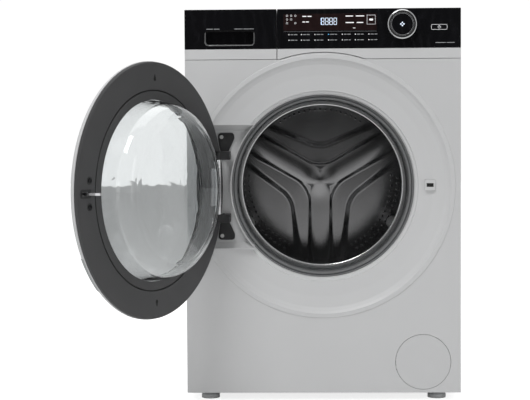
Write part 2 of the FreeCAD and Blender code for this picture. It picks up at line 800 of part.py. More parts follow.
def door_inner_ring():
    """The dark ring on the door's inner side, stepped where the bowl sits, with the hook's carrier."""
    rim, seat, bowl, face = S.door_radius, S.bowl_radius + 18, S.bowl_radius + 0.5, door_face
    moulding = lathe("y", [
        (bowl, face), (seat, face), (seat, face - 2), (seat + 3, face - 2), (seat + 3, face),
        (rim - 2, face), (rim, face - 2), (rim, face - 6), (rim - 2.5, face - 6), (rim - 2.5, face - 4),
        (seat + 6, face - 4), (seat + 6, face - 5), (bowl, face - 5)], z=axis_z)
    window = block((hook_x - 12, face - 9, hook_z - 4), (hook_x + 12, face + 3, hook_z + 4))
    screw_holes = [rod("y", 2.6, face - 9, face + 3, z=axis_z + side * (rim - 32)) for side in (-1, 1)]
    return hung(fuse(cut(moulding, window, *screw_holes), hook_carrier()))


def hook_carrier():
    """Two ears and a bridge inside the door, which the hook's trunnion turns in."""
    low, high, near, far = hook_z - 12, hook_z + 12, hook_y - 7, door_face - 3.9
    ears = [block((hook_x - 7, near, low), (hook_x + 7, far, hook_z - 5)),
            block((hook_x - 7, near, hook_z + 5), (hook_x + 7, far, high))]
    bore = rod("z", S.trunnion_radius + S.run_gap, hook_z - 9.2, hook_z + 9.2, x=hook_x, y=hook_y - 1.5)
    bridge = block((hook_x - 7, near - 2.5, low), (hook_x + 7, near, high))
    return cut(fuse(*ears, bridge), bore)


def door_outer_ring():
    """The white shell of the door: a rounded rim that narrows towards the front."""
    rim, face, wall = S.door_radius + 1, door_face - 6.3, S.wall
    front_face = door_face - S.door_thick
    inner = S.bowl_radius + 12
    return hung(lathe("y", [
        (rim, face), (rim, face - 3), (rim - 18, front_face, -18), (inner, front_face - 3.5),
        (inner, front_face - 0.5), (rim - 18 - wall, front_face + 3), (rim - 2 * wall, face - 4),
        (rim - 2 * wall, face)], z=axis_z))


def door_cover():
    """The clear domed window in the door's outer side."""
    rim, face = S.bowl_radius + 11.7, door_face - S.door_thick
    return hung(lathe("y", [
        (0, face - 14), (rim - 60, face - 11.5), (rim, face - 3.2), (rim, face - 0.4),
        (rim - 60, face - 8.5), (0, face - 11)], z=axis_z))


def door_glass():
    """The glass bowl, with a flat rim held behind the inner ring."""
    mouth, end, wall, face = S.bowl_radius, S.bowl_end, S.glass_wall, door_face
    tip = face + S.bowl_deep
    throat = mouth - 6
    return hung(lathe("y", [
        (mouth + 15, face - 9.3), (mouth + 15, face - 5.3), (mouth, face - 5.3), (throat, tip - 32),
        (end + 4, tip - 3, 36), (end - 4, tip), (0, tip + 3), (0, tip + 3 - wall), (end - 5, tip - wall),
        (end + 2, tip - 3 - wall), (throat - wall, tip - 32, -32), (mouth - wall, face - 9.3)], z=axis_z))


def door_hinge_leaf():
    """The knuckle on the pins and the leaf that ties it to the door."""
    half_tall = S.knuckle_half
    low, high = axis_z - half_tall, axis_z + half_tall
    knuckle = rod("z", 7, low, high, x=hinge_x, y=hinge_y)
    web = block((hinge_x - 5, door_face + 0.1, low), (hinge_x + 5, hinge_y, high))
    pad = block((hinge_x - 5, door_face + 0.1, low), (hinge_x + 24, door_face + 3, high))
    bore = rod("z", S.pin_radius + S.run_gap, low - 1, high + 1, x=hinge_x, y=hinge_y)
    relief = rod("z", S.pin_radius + 0.6, axis_z - half_tall + 17, axis_z + half_tall - 17,
                 x=hinge_x, y=hinge_y)
    return hung(cut(fuse(knuckle, web, pad), bore, relief))


def door_hook():
    """The sprung hook: a plate with a barb, turning about its own short trunnion."""
    thick = S.hook_thick / 2
    reach = front - S.door_rest + 34
    outline = [(hook_x - 5, hook_y - 2), (hook_x + 5, hook_y - 2), (hook_x + 1, reach - 10),
               (hook_x + 4, reach - 9), (hook_x + 1, reach), (hook_x - 3, reach)]
    shank = plate("plan", outline, hook_z - thick, hook_z + thick)
    trunnion = rod("z", S.trunnion_radius, hook_z - 9, hook_z + 9, x=hook_x, y=hook_y - 1.5)
    return hung(fuse(shank, trunnion))


# ---- gasket ----------------------------------------------------------------------------------------

def door_gasket():
    """The rubber bellows from the porthole to the tub neck. It bends when the tub moves."""
    mouth, lip = S.mouth_radius - 0.2, S.mouth_radius - 11
    outer = S.mouth_radius + S.wall + 0.3
    end = tub_front - 16.4
    neck = S.neck_radius - 0.4
    return lathe("y", [
        (mouth, deep(S.dish_deep + 10)), (mouth, deep(S.mouth_deep + 1)),
        (outer + 16, deep(S.mouth_deep + 4)),
        (outer + 16, end - 9), (neck + 9, end - 2), (neck, end - 2), (neck, end + 12), (neck - 3, end + 12),
        (neck - 3, end - 5), (outer + 12, end - 12), (outer + 12, deep(S.mouth_deep + 8)),
        (lip + 5, deep(S.mouth_deep + 6)), (lip, deep(S.mouth_deep - 4)), (lip + 3, deep(S.dish_deep + 12))],
        z=axis_z)


# ---- tub -------------------------------------------------------------------------------------------

def tub_front_half():
    """The front half of the tub, with the neck that the gasket clamps to."""
    inner, outer, wall = tub_inner, tub_outer, S.tub_wall
    neck, start, face, seam_y = S.neck_radius, tub_front - 18, tub_front, tub_seam_y
    shell = lathe("y", [
        (neck, start), (neck + wall, start), (neck + wall, face), (outer - 12, face), (outer, face + 12, -12),
        (outer, seam_y - 6), (outer + 7, seam_y - 6), (outer + 7, seam_y), (inner, seam_y),
        (inner, face + 12), (inner - 9, face + wall, 9), (neck, face + wall)], z=axis_z)
    spout = cut(rod("z", 18, spout_low, axis_z - 200, x=hose_x, y=hose_y),
                rod("y", inner + 0.5, face - 9, seam_y, z=axis_z))
    return cut(fuse(shell, spout), rod("z", 15, spout_low - 1, axis_z - 200, x=hose_x, y=hose_y))


def tub_rear_half():
    """The rear half of the tub: bearing hub, ears for the springs and feet for the dampers."""
    inner, outer, wall, seam_y = tub_inner, tub_outer, S.tub_wall, tub_seam_y
    hub, bearing = S.hub_radius, S.shaft_radius + 16
    drum_clear = tub_back
    shell = lathe("y", [
        (inner, seam_y), (outer + 7, seam_y), (outer + 7, seam_y + 6), (outer, seam_y + 6),
        (outer, drum_clear + wall - 12), (outer - 12, drum_clear + wall, -12), (hub, drum_clear + wall),
        (hub, hub_back), (bearing, hub_back), (bearing, drum_clear), (inner - 9, drum_clear),
        (inner, drum_clear - 9, 9)], z=axis_z)
    ears, hollow = [], rod("y", inner + 1, tub_front, back, z=axis_z)
    for side in (-1, 1):
        root, tip = side * (tub_outer - 62.5), side * (spring_x + 11)
        low_x, high_x = (tip, root) if side < 0 else (root, tip)
        ears.append(block((low_x, spring_y - 14, ear_z - 16), (high_x, spring_y + 14, ear_z)))
        root, tip = side * (tub_outer - lug_root), side * (damper_x + 13)
        low_x, high_x = (tip, root) if side < 0 else (root, tip)
        for y in damper_ys:
            ears.append(block((low_x, y - 13, lug_z), (high_x, y + 13, lug_z + 34)))
    return fuse(shell, cut(fuse(*ears), hollow))


def counterweights():
    """Two cast blocks on the tub's front wall, above and below the porthole."""
    inner, outer = S.mouth_radius + 32, tub_outer - 14
    start, stop = tub_front - 34, tub_front
    blocks = []
    for side in (-1, 1):
        low, high = (axis_z + 150, axis_z + 400) if side > 0 else (axis_z - 400, axis_z - 150)
        blocks.append(common(ring("y", outer + 8, inner, start, stop, z=axis_z),
                             block((-190, start - 1, low), (190, stop + 1, high))))
    return group(*blocks)


def heater():
    """The hairpin heating element between drum and tub, with its plug in the tub's back wall."""
    tube, level = 3, axis_z - S.drum_radius - S.tub_play / 2
    start, stop, side = tub_back - 175, tub_back + S.tub_wall + 16, 13
    legs = [rod("y", tube, start, stop, x=x, z=level) for x in (-side, side)]
    bend = doc.addObject("Part::Torus", "Bend")
    bind(bend, "Radius1", side)
    bind(bend, "Radius2", tube)
    bind(bend, "Angle3", 180)
    bend.Placement = FreeCAD.Placement(FreeCAD.Vector(), FreeCAD.Rotation(FreeCAD.Vector(0, 0, 1), 180))
    place(bend, 0, start, level)
    plug = block((-side - 9, tub_back + S.tub_wall, level - 8),
                 (side + 9, tub_back + S.tub_wall + 9, level + 10))
    return fuse(*legs, bend, plug)


def damper_rods():
    rods = [rod("z", S.damper_radius, damper_low + 70, lug_z, x=side * damper_x, y=y)
            for side in (-1, 1) for y in damper_ys]
    return group(*rods)


def damper_cylinders():
    """Four friction dampers standing in the base pan."""
    cylinders = []
    for side in (-1, 1):
        for y in damper_ys:
            x = side * damper_x
            cylinders.append(cut(
                rod("z", S.damper_radius + 5, damper_low, damper_low + 120, x=x, y=y),
                rod("z", S.damper_radius + S.run_gap, damper_low + 50, damper_low + 121, x=x, y=y)))
    return group(*cylinders)


def suspension_springs():
    """The two tub springs, as closed solids of their outer shape."""
    low, high = ear_z + 0.2, brace_low - 0.2
    return group(*[rod("z", S.spring_radius, low, high, x=x, y=spring_y) for x in (-spring_x, spring_x)])


def drum_bearings():
    """Front and rear ball bearings in the tub's hub."""
    outer, inner = S.shaft_radius + 16, S.shaft_radius + S.run_gap
    return group(ring("y", outer, inner, tub_back + 4, tub_back + 18, z=axis_z),
                 ring("y", outer, inner, hub_back - 16, hub_back - 2, z=axis_z))


def stator():
    """The motor's wound stator, screwed to the tub's back wall."""
    inner, outer, start = S.hub_radius + 2, S.rotor_radius - 9, tub_back + S.tub_wall
    core = ring("y", outer - 24, inner, start, start + 12, z=axis_z)
    coils = []
    count = 24
    for number in range(count):
        angle = number * 360 / count
        x, z = (outer - 14) * cosine(angle), axis_z + (outer - 14) * sine(angle)
        coils.append(rod("y", 8, start, start + 26, x=x, z=z))
    yoke = ring("y", outer - 4, outer - 26, start + 4, start + 22, z=axis_z)
    return fuse(core, yoke, *coils)


# ---- drum ------------------------------------------------------------------------------------------

def drum_shell():
    outer, wall = S.drum_radius, S.drum_wall
    return ring("y", outer, outer - wall, drum_front + 9, drum_back, z=axis_z)


def drum_front_ring():
    """The drum's front ring with its rolled lip."""
    outer, wall, mouth = S.drum_radius - S.drum_wall, S.drum_wall, S.drum_mouth
    return lathe("y", [
        (mouth, drum_front + 4), (mouth + 4, drum_front, -4), (mouth + 8, drum_front),
        (outer - 8, drum_front + 3),
        (outer, drum_front + 11, -8), (outer, drum_front + 22), (outer - wall, drum_front + 22),
        (outer - wall, drum_front + 11), (outer - 8, drum_front + 3 + wall, 7),
        (mouth + 8, drum_front + wall),
        (mouth + 4, drum_front + wall), (mouth + wall, drum_front + 4, 3), (mouth + wall, drum_front + 9),
        (mouth, drum_front + 9)], z=axis_z)


def drum_back_wall():
    """The drum's back wall with its raised three-armed star."""
    outer, wall = S.drum_radius, S.drum_wall
    disc = rod("y", outer, drum_back, drum_back + wall, z=axis_z)
    hub = cone("y", 40, 60, drum_back - 5, drum_back, z=axis_z)
    arms = []
    for angle in (270, 30, 150):
        arm = plate("front", [(0, -28), (outer - 30, -48), (outer - 12, -48), (outer - 12, 48),
                              (outer - 30, 48), (0, 28)], -3, 0)
        arm.Placement = turned(-angle)
        arms.append(place(arm, 0, drum_back, axis_z))
    return fuse(disc, hub, *arms)


def drum_lifters():
    """Three ribs that lift the washing."""
    outer = S.drum_radius - S.drum_wall - 0.1
    foot_level = root(outer * outer - 30 * 30)
    lifters = []
    for angle in (90, 210, 330):
        rib = plate("front", [(-30, foot_level), (30, foot_level, -outer), (13, outer - 46),
                              (0, outer - 51), (-13, outer - 46)], 0, S.drum_long - 40)
        rib.Placement = turned(90 - angle)
        lifters.append(place(rib, 0, drum_front + S.drum_long - 14, axis_z))
    return group(*lifters)


def drum_spider():
    """The cast three-armed spider with the drum shaft."""
    start, stop = drum_back + S.drum_wall, spider_back
    pieces = [rod("y", 46, start, stop, z=axis_z), rod("y", S.shaft_radius, start, rotor_back + 14, z=axis_z)]
    for angle in (90, 210, 330):
        arm = plate("front", [(-20, 0), (20, 0), (12, S.drum_radius - 4), (-12, S.drum_radius - 4)],
                    0, S.spider_thick - 4)
        arm.Placement = turned(90 - angle)
        pieces.append(place(arm, 0, start + S.spider_thick - 4, axis_z))
    return fuse(*pieces)


def rotor():
    """The motor's rotor cup, fixed on the end of the drum shaft."""
    rim, start, wall = S.rotor_radius, tub_back + S.tub_wall + 6, 3
    shaft = S.shaft_radius
    return lathe("y", [
        (shaft, rotor_back - wall), (rim - 6, rotor_back - wall), (rim - 6, start), (rim, start),
        (rim, rotor_back), (30, rotor_back), (30, rotor_back + 8), (shaft, rotor_back + 8)], z=axis_z)


# ---- bottom ----------------------------------------------------------------------------------------


def filter_flap():
    """The round cover over the drain filter, on two bent arms that swing round the panel's edge."""
    radius, thick = S.flap_radius, 2
    disc = rod("y", radius, front, front + thick, x=flap_x, z=flap_z)
    arm_outline = [(flap_pin_x - 2.4, flap_pin_y), (flap_pin_x + 2.4, flap_pin_y),
                   (flap_pin_x + 2.4, flap_pin_y + 10.5), (flap_pin_x + 11.5, flap_pin_y + 10.5),
                   (flap_pin_x + 11.5, front + 1.5), (flap_pin_x + 14.5, front + 1.5),
                   (flap_pin_x + 14.5, flap_pin_y + 13.5), (flap_pin_x - 2.4, flap_pin_y + 13.5)]
    arms = [plate("plan", arm_outline, flap_z + low, flap_z + low + 5) for low in (-17, 12)]
    barrel = rod("z", 2.4, flap_z - 20, flap_z + 20, x=flap_pin_x, y=flap_pin_y)
    pin = rod("z", flap_pin_radius, flap_z - 27, flap_z + 27, x=flap_pin_x, y=flap_pin_y)
    catch = block((flap_x + radius - 12, front + thick, flap_z - 8),
                  (flap_x + radius - 9, front + thick + 6, flap_z + 8))
    return fuse(disc, barrel, pin, catch, *arms)


def filter_frame():
    """The moulded collar behind the front panel that holds the flap's pin and leads to the filter."""
    radius = S.flap_radius + 3.5
    collar = ring("y", radius + 2.5, radius, front + S.sheet_wall + 0.1, deep(15), x=flap_x, z=flap_z)
    ears = []
    for side in (-1, 1):
        near, far = flap_z + side * 22, flap_z + side * 26
        low, high = (near, far) if side > 0 else (far, near)
        ears.append(block((flap_pin_x - 4, front + S.sheet_wall + 0.1, low),
                          (flap_pin_x + 9, front + 9, high)))
    bore = rod("z", flap_pin_radius + S.run_gap, flap_z - 60, flap_z + 60, x=flap_pin_x, y=flap_pin_y)
    arm_window = block((flap_pin_x - 9, front, flap_z - 21), (flap_pin_x + 16, front + 30, flap_z + 21))
    return cut(fuse(cut(collar, arm_window), *ears), bore)


def drain_pump():
    """The drain pump: filter barrel, impeller chamber and motor."""
    bore, wall = S.filter_radius, 3
    barrel = rod("y", bore + wall, deep(8), deep(pump_depth + 14), x=flap_x, z=flap_z)
    motor = rod("y", 27, deep(pump_depth + 14), deep(pump_depth + 62), x=flap_x, z=flap_z)
    inlet_port = rod("x", 18, flap_x - bore - 28, flap_x, y=hose_y, z=flap_z)
    outlet_port = rod("z", 9, flap_z + 10, flap_z + bore + 24, x=flap_x, y=deep(pump_depth + 4))
    saddle = block((flap_x - 24, deep(pump_depth - 10), bottom + 4),
                   (flap_x + 24, deep(pump_depth + 12), flap_z - bore + 1))
    chamber = rod("y", bore, deep(7), deep(pump_depth - 6), x=flap_x, z=flap_z)
    volute = rod("y", 24, deep(pump_depth - 7), deep(pump_depth + 10), x=flap_x, z=flap_z)
    shaft = rod("y", 3 + S.run_gap, deep(pump_depth), deep(pump_depth + 40), x=flap_x, z=flap_z)
    port = rod("x", 15, flap_x - bore - 29, flap_x, y=hose_y, z=flap_z)
    return cut(fuse(barrel, motor, inlet_port, outlet_port, saddle), chamber, volute, shaft, port)


def pump_filter():
    """The drain filter: a screw cap with a grip bar, and a cage that catches fluff."""
    radius = S.filter_radius
    cap = rod("y", radius - 0.1, deep(12), deep(22), x=flap_x, z=flap_z)
    grip = block((flap_x - 22, deep(9), flap_z - 4), (flap_x + 22, deep(12), flap_z + 4))
    cage = rod("y", radius - 8, deep(22), deep(pump_depth - 16), x=flap_x, z=flap_z)
    core = rod("y", radius - 11, deep(24), deep(pump_depth - 15), x=flap_x, z=flap_z)
    slots = [block((flap_x - radius, deep(start), flap_z - 9), (flap_x + radius, deep(start + 8), flap_z + 9))
             for start in range(28, pump_depth - 26, 16)]
    return cut(fuse(cap, grip, cage), core, *slots)


def pump_impeller():
    """The pump's four-bladed impeller on its shaft."""
    start, stop = deep(pump_depth - 3), deep(pump_depth + 8)
    hub = rod("y", 6, start, stop, x=flap_x, z=flap_z)
    shaft = rod("y", 3, start, deep(pump_depth + 34), x=flap_x, z=flap_z)
    blades = [block((flap_x - 20, start, flap_z - 1.2), (flap_x + 20, stop, flap_z + 1.2)),
              block((flap_x - 1.2, start, flap_z - 20), (flap_x + 1.2, stop, flap_z + 20))]
    return fuse(hub, shaft, *blades)


def sump_hose():
    """The ribbed hose from the tub's bottom to the pump, along a straight drop and one bend."""
    radius, bend = 17.5, 34
    down = rod("z", radius, flap_z + bend, spout_low - 0.3, x=hose_x, y=hose_y)
    across = rod("x", radius, hose_x + bend, flap_x - S.filter_radius - 28.2, y=hose_y, z=flap_z)
    elbow = doc.addObject("Part::Torus", "Elbow")
    bind(elbow, "Radius1", bend)
    bind(elbow, "Radius2", radius)
    bind(elbow, "Angle3", 90)
    elbow.Placement = FreeCAD.Placement(FreeCAD.Vector(), FreeCAD.Rotation(FreeCAD.Vector(1, 0, 0), -90)
                                        * FreeCAD.Rotation(FreeCAD.Vector(0, 0, 1), 90))
    place(elbow, hose_x + bend, hose_y, flap_z + bend)
    return fuse(down, elbow, across)


def foot(x, y):
    """One adjustable foot: a pad on a threaded stud."""
    pad = rod("z", S.foot_radius, 0, S.foot_thick - 4, x=x, y=y)
    shoulder = cone("z", S.foot_radius, S.foot_radius - 4, S.foot_thick - 4, S.foot_thick, x=x, y=y)
    stud = rod("z", S.stud_radius, S.foot_thick, bottom + S.pan_tall - 4, x=x, y=y)
    return fuse(pad, shoulder, stud)


def foot_lock_nuts():
    """The nuts that lock the feet under the base pan."""
    nuts = []
    for x, y in foot_places:
        outline = [(9.5 * cosine(angle), 9.5 * sine(angle)) for angle in range(0, 360, 60)]
        nut = place(plate("plan", outline, S.foot_thick + 0.4, bottom - 0.1), x, y, S.foot_thick + 0.4)
        nuts.append(cut(nut, rod("z", S.stud_radius + 0.1, 5, bottom + 5, x=x, y=y)))
    return group(*nuts)


# ---- the whole machine -----------------------------------------------------------------------------

SUB_PARTS = {
    "side_panels": side_panels, "rear_panel": rear_panel, "rear_cover": rear_cover,
    "front_panel": front_panel, "door_surround": door_surround, "worktop": worktop, "base_pan": base_pan,
    "suspension_crossbar": suspension_crossbar, "control_fascia": control_fascia,
    "control_lens": control_lens, "control_board": control_board, "knob_ring": knob_ring,
    "start_button": start_button, "power_button": power_button, "drawer_front": drawer_front,
    "drawer_lens": drawer_lens, "drawer_handle_trim": drawer_handle_trim, "drawer_tray": drawer_tray,
    "siphon_cap": siphon_cap, "dispenser_housing": dispenser_housing, "inlet_valve": inlet_valve,
    "drain_outlet": drain_outlet, "cable_gland": cable_gland, "cabinet_screws": cabinet_screws,
    "door_lock": door_lock, "hinge_brackets": hinge_brackets, "hinge_pins": hinge_pins,
    "door_inner_ring": door_inner_ring, "door_outer_ring": door_outer_ring, "door_cover": door_cover,
    "door_glass": door_glass, "door_hinge_leaf": door_hinge_leaf, "door_hook": door_hook,
    "door_gasket": door_gasket, "tub_front": tub_front_half,
    "tub_rear": tub_rear_half, "counterweights": counterweights,
    "heater": heater, "damper_rods": damper_rods,
    "damper_cylinders": damper_cylinders, "suspension_springs": suspension_springs,
    "drum_bearings": drum_bearings, "stator": stator, "drum_shell": drum_shell,
    "drum_front_ring": drum_front_ring, "drum_back": drum_back_wall, "drum_lifters": drum_lifters,
    "drum_spider": drum_spider, "rotor": rotor, "filter_flap": filter_flap,
    "filter_frame": filter_frame, "drain_pump": drain_pump, "pump_filter": pump_filter,
    "pump_impeller": pump_impeller, "sump_hose": sump_hose, "foot_lock_nuts": foot_lock_nuts,
}

for name, make in SUB_PARTS.items():
    node(name, make())
foot_names = ("foot_front_left", "foot_rear_left", "foot_front_right", "foot_rear_right")
for name, (foot_x, foot_y) in zip(foot_names, foot_places):
    node(name, foot(foot_x, foot_y))

doc.recompute()

for item in doc.Objects:
    if "Invalid" in item.State or "Error" in item.State:
        raise RuntimeError(f"{item.Name} ({item.Label}) failed: {item.State}")
for item in nodes:
    if item.Shape.isNull() or not item.Shape.isValid() or not item.Shape.Solids:
        raise RuntimeError(f"{item.Label} has no valid solid")

os.makedirs("parts", exist_ok=True)
for item in nodes:
    item.Shape.exportStep(f"parts/{item.Label}.step")
    print(f"{item.Label:24} {len(item.Shape.Solids):3} solids {item.Shape.Volume / 1000:9.1f} cm3")
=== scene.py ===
import json
import math

import bpy
from mathutils import Matrix, Vector

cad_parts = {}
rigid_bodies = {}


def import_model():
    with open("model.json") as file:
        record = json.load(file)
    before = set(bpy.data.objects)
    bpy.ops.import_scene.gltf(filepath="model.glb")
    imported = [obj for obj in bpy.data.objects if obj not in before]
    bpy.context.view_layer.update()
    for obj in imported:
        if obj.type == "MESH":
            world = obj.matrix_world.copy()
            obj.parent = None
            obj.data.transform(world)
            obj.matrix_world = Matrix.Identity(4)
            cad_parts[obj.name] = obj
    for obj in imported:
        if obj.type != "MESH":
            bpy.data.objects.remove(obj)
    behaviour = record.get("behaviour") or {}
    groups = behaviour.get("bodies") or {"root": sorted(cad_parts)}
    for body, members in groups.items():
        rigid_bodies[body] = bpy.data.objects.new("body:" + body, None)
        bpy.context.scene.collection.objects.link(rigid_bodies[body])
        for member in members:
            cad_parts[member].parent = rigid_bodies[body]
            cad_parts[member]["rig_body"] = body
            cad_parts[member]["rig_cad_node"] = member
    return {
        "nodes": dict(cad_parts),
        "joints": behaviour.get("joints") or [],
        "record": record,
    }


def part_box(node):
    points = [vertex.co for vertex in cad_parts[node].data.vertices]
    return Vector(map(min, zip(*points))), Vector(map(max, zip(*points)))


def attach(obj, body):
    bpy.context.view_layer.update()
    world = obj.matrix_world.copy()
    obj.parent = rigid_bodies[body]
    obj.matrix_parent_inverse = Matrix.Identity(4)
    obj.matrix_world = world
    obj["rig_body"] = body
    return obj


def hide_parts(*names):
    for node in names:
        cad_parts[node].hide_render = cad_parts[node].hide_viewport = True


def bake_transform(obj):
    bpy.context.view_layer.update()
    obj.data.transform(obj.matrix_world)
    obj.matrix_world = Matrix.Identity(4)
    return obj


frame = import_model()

bl_info = {
    "name": "Front load washing machine",
    "version": (1, 0, 0),
    "blender": (4, 5, 0),
    "location": "View3D > Sidebar > Washer",
    "description": "Builds the looks of a front load washing machine around its packed frame",
    "category": "Object",
}

# ---- places taken from the frame, in metres ----

JOINTS = {joint["name"]: joint for joint in frame["joints"]}
BODIES = {node: body for body, nodes in frame["record"]["behaviour"]["bodies"].items() for node in nodes}
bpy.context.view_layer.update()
MM = 0.001


def middle(node):
    low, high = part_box(node)
    return (low + high) / 2


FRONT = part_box("front_panel")[0].y
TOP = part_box("worktop")[1].z
AXIS_Z = middle("drum_shell").z
HINGE = Vector(JOINTS["door_hinge"]["pos_m"])
DOOR_SWING = math.radians(JOINTS["door_hinge"]["range_deg"][1])
DOOR_FACE = FRONT - 20 * MM
DRUM_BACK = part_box("drum_shell")[1].y
DRUM_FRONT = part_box("drum_front_ring")[0].y
KNOB = middle("knob_ring")
POWER = middle("power_button")
LOCK = Vector((232 * MM, FRONT, AXIS_Z + 1.5 * MM))
DRUM_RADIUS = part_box("drum_shell")[1].x
LIFTERS = (90, 210, 330)  # degrees round the drum
POCKET_FLOOR = FRONT + 34 * MM
POCKET_HALF = 134  # half the height of the pocket beside the hinge, in millimetres
POCKET_LEFT = -243 * MM


# ---- what a user would change ----

def length_property(name, words, default):
    return bpy.props.FloatProperty(name=name, description=words, default=default, min=0.0,
                                   subtype="DISTANCE", unit="LENGTH")


def colour_property(name, words, default):
    return bpy.props.FloatVectorProperty(name=name, description=words, default=default, size=3,
                                         min=0.0, max=1.0, subtype="COLOR")


class WasherSizes(bpy.types.PropertyGroup):
    """Sizes of the fine detail that the looks add to the frame."""
    edge: length_property("Edge", "Rounding of moulded and folded edges", 0.8 * MM)
    hole: length_property("Drum hole", "Radius of a hole in the drum", 2.4 * MM)
    hole_pitch: bpy.props.FloatProperty(name="Hole pitch", description="Angle between two holes of a row",
                                        default=math.radians(4.25), subtype="ANGLE", unit="ROTATION")
    star_step: length_property("Star step", "Height of each step of the drum's star", 2.1 * MM)
    digit: length_property("Digit", "Height of a display digit", 15 * MM)
    mark: length_property("Mark", "Thickness of a printed mark", 0.12 * MM)


class WasherColours(bpy.types.PropertyGroup):
    """Base colours of the finishes."""
    white: colour_property("White", "Painted steel and white mouldings", (0.70, 0.705, 0.71))
    black: colour_property("Black", "Glossy control strip", (0.006, 0.006, 0.007))
    charcoal: colour_property("Charcoal", "Inner ring of the door", (0.062, 0.062, 0.064))
    gasket: colour_property("Gasket", "Porthole gasket", (0.20, 0.205, 0.21))
    steel: colour_property("Steel", "Drum", (0.36, 0.36, 0.365))
    lit: colour_property("Lit marks", "Display digits and icons", (0.75, 0.85, 1.0))


def sizes():
    return bpy.context.scene.washer_sizes


def colours():
    return bpy.context.scene.washer_colours


# ---- modelling by hand, in code ----

def deselect():
    if bpy.context.object and bpy.context.object.mode != "OBJECT":
        bpy.ops.object.mode_set(mode="OBJECT")
    bpy.ops.object.select_all(action="DESELECT")


def only(item):
    deselect()
    item.select_set(True)
    bpy.context.view_layer.objects.active = item
    return item


def edit(item, *steps):
    """Run edit-mode operators on the whole of a piece."""
    only(item)
    bpy.ops.object.mode_set(mode="EDIT")
    bpy.ops.mesh.select_all(action="SELECT")
    for step, settings in steps:
        step(**settings)
    bpy.ops.object.mode_set(mode="OBJECT")
    return item


def modified(item, kind, **settings):
    """Add a modifier and apply it."""
    modifier = item.modifiers.new(kind.title(), kind)
    for key, value in settings.items():
        setattr(modifier, key, value)
    only(item)
    bpy.ops.object.modifier_apply(modifier=modifier.name)
    return item


def merged(item, distance=0.01 * MM):
    return edit(item, (bpy.ops.mesh.remove_doubles, {"threshold": distance}),
                (bpy.ops.mesh.dissolve_degenerate, {"threshold": distance}),
                (bpy.ops.mesh.normals_make_consistent, {"inside": False}))


def fillet(points, steps=4):
    """Round the corners of a closed outline. A point's third value is its corner radius."""
    result = []
    count = len(points)
    for index, point in enumerate(points):
        here = Vector(point[:2])
        if len(point) == 2 or point[2] == 0:
            result.append(here)
            continue
        before = Vector(points[index - 1][:2]) - here
        after = Vector(points[(index + 1) % count][:2]) - here
        turn = before.angle(after)
        reach = min(point[2] / math.tan(turn / 2), 0.48 * before.length, 0.48 * after.length)
        radius = reach * math.tan(turn / 2)
        centre = here + (before.normalized() + after.normalized()).normalized() * radius / math.sin(turn / 2)
        start = here + before.normalized() * reach - centre
        stop = here + after.normalized() * reach - centre
        for step in range(steps + 1):
            share = step / steps
            result.append(centre + start.slerp(stop, share).normalized() * start.length)
    return result


def outlined(points, place):
    """A flat polygon whose corners are moved to places that a function gives for each point."""
    deselect()
    bpy.ops.mesh.primitive_circle_add(vertices=len(points), radius=1.0, fill_type="NOTHING")
    item = bpy.context.object
    for vertex, point in zip(item.data.vertices, points):
        vertex.co = place(point)
    return item


def turned(points, steps=160, centre=(0.0, AXIS_Z)):
    """A piece turned on a lathe whose axis runs front to back. Points are (radius, place along it)."""
    x, z = centre
    item = outlined(points, lambda point: Vector((x + point[0], point[1], z)))
    edit(item, (bpy.ops.mesh.spin, {"steps": steps, "angle": 2 * math.pi, "center": (x, 0, z),
                                    "axis": (0, 1, 0)}))
    return merged(item)


def slab(points, start, stop, plane="front"):
    """An outline made solid between two places: seen from the front, from above or from the side."""
    places = {"front": lambda point: Vector((point[0], start, point[1])),
              "plan": lambda point: Vector((point[0], point[1], start)),
              "side": lambda point: Vector((start, point[0], point[1]))}
    shifts = {"front": (0, stop - start, 0), "plan": (0, 0, stop - start), "side": (stop - start, 0, 0)}
    item = outlined(points, places[plane])
    edit(item, (bpy.ops.mesh.edge_face_add, {}),
         (bpy.ops.mesh.extrude_region_move, {"TRANSFORM_OT_translate": {"value": shifts[plane]}}))
    return merged(item)


def box_outline(left, bottom, right, top, radius):
    return fillet([(left, bottom, radius), (right, bottom, radius), (right, top, radius),
                   (left, top, radius)])


def rod(radius, start, stop, steps=24):
    """A round bar between two points, with softened ends."""
    start, stop = Vector(start), Vector(stop)
    deselect()
    bpy.ops.mesh.primitive_cylinder_add(vertices=steps, radius=radius, depth=(stop - start).length)
    item = bpy.context.object
    turn = (stop - start).to_track_quat("Z", "Y").to_matrix().to_4x4()
    modified(item, "BEVEL", width=radius * 0.12, segments=2, limit_method="ANGLE")
    item.data.transform(Matrix.Translation((start + stop) / 2) @ turn)
    return item


def joined(items):
    """Several meshes as one piece."""
    deselect()
    for item in items:
        item.select_set(True)
    bpy.context.view_layer.objects.active = items[0]
    if len(items) > 1:
        bpy.ops.object.join()
    return items[0]


def copied(item, matrix):
    """A copy with its own mesh, moved by a matrix."""
    copy = item.copy()
    copy.data = item.data.copy()
    copy.data.transform(matrix)
    bpy.context.scene.collection.objects.link(copy)
    return copy


def softened(item, width=None, segments=2):
    return modified(item, "BEVEL", width=sizes().edge if width is None else width, segments=segments,
                    limit_method="ANGLE", angle_limit=math.radians(40), harden_normals=False)


def cut_out(item, *cutters):
    """Take the shapes of other pieces away from a piece."""
    for cutter in cutters:
        modified(item, "BOOLEAN", object=cutter, operation="DIFFERENCE", solver="EXACT")
        bpy.data.objects.remove(cutter)
    return item


def profile(face, *points):
    """A lathe outline in millimetres: radius, depth behind a face and, if round, a corner radius."""
    return fillet([(point[0] * MM, face + point[1] * MM, *[value * MM for value in point[2:]])
                   for point in points], 6)


def brick(low, high):
    """A plain block between two corners, for cutters and small stubs."""
    return slab([(low[0], low[2]), (high[0], low[2]), (high[0], high[2]), (low[0], high[2])], low[1], high[1])


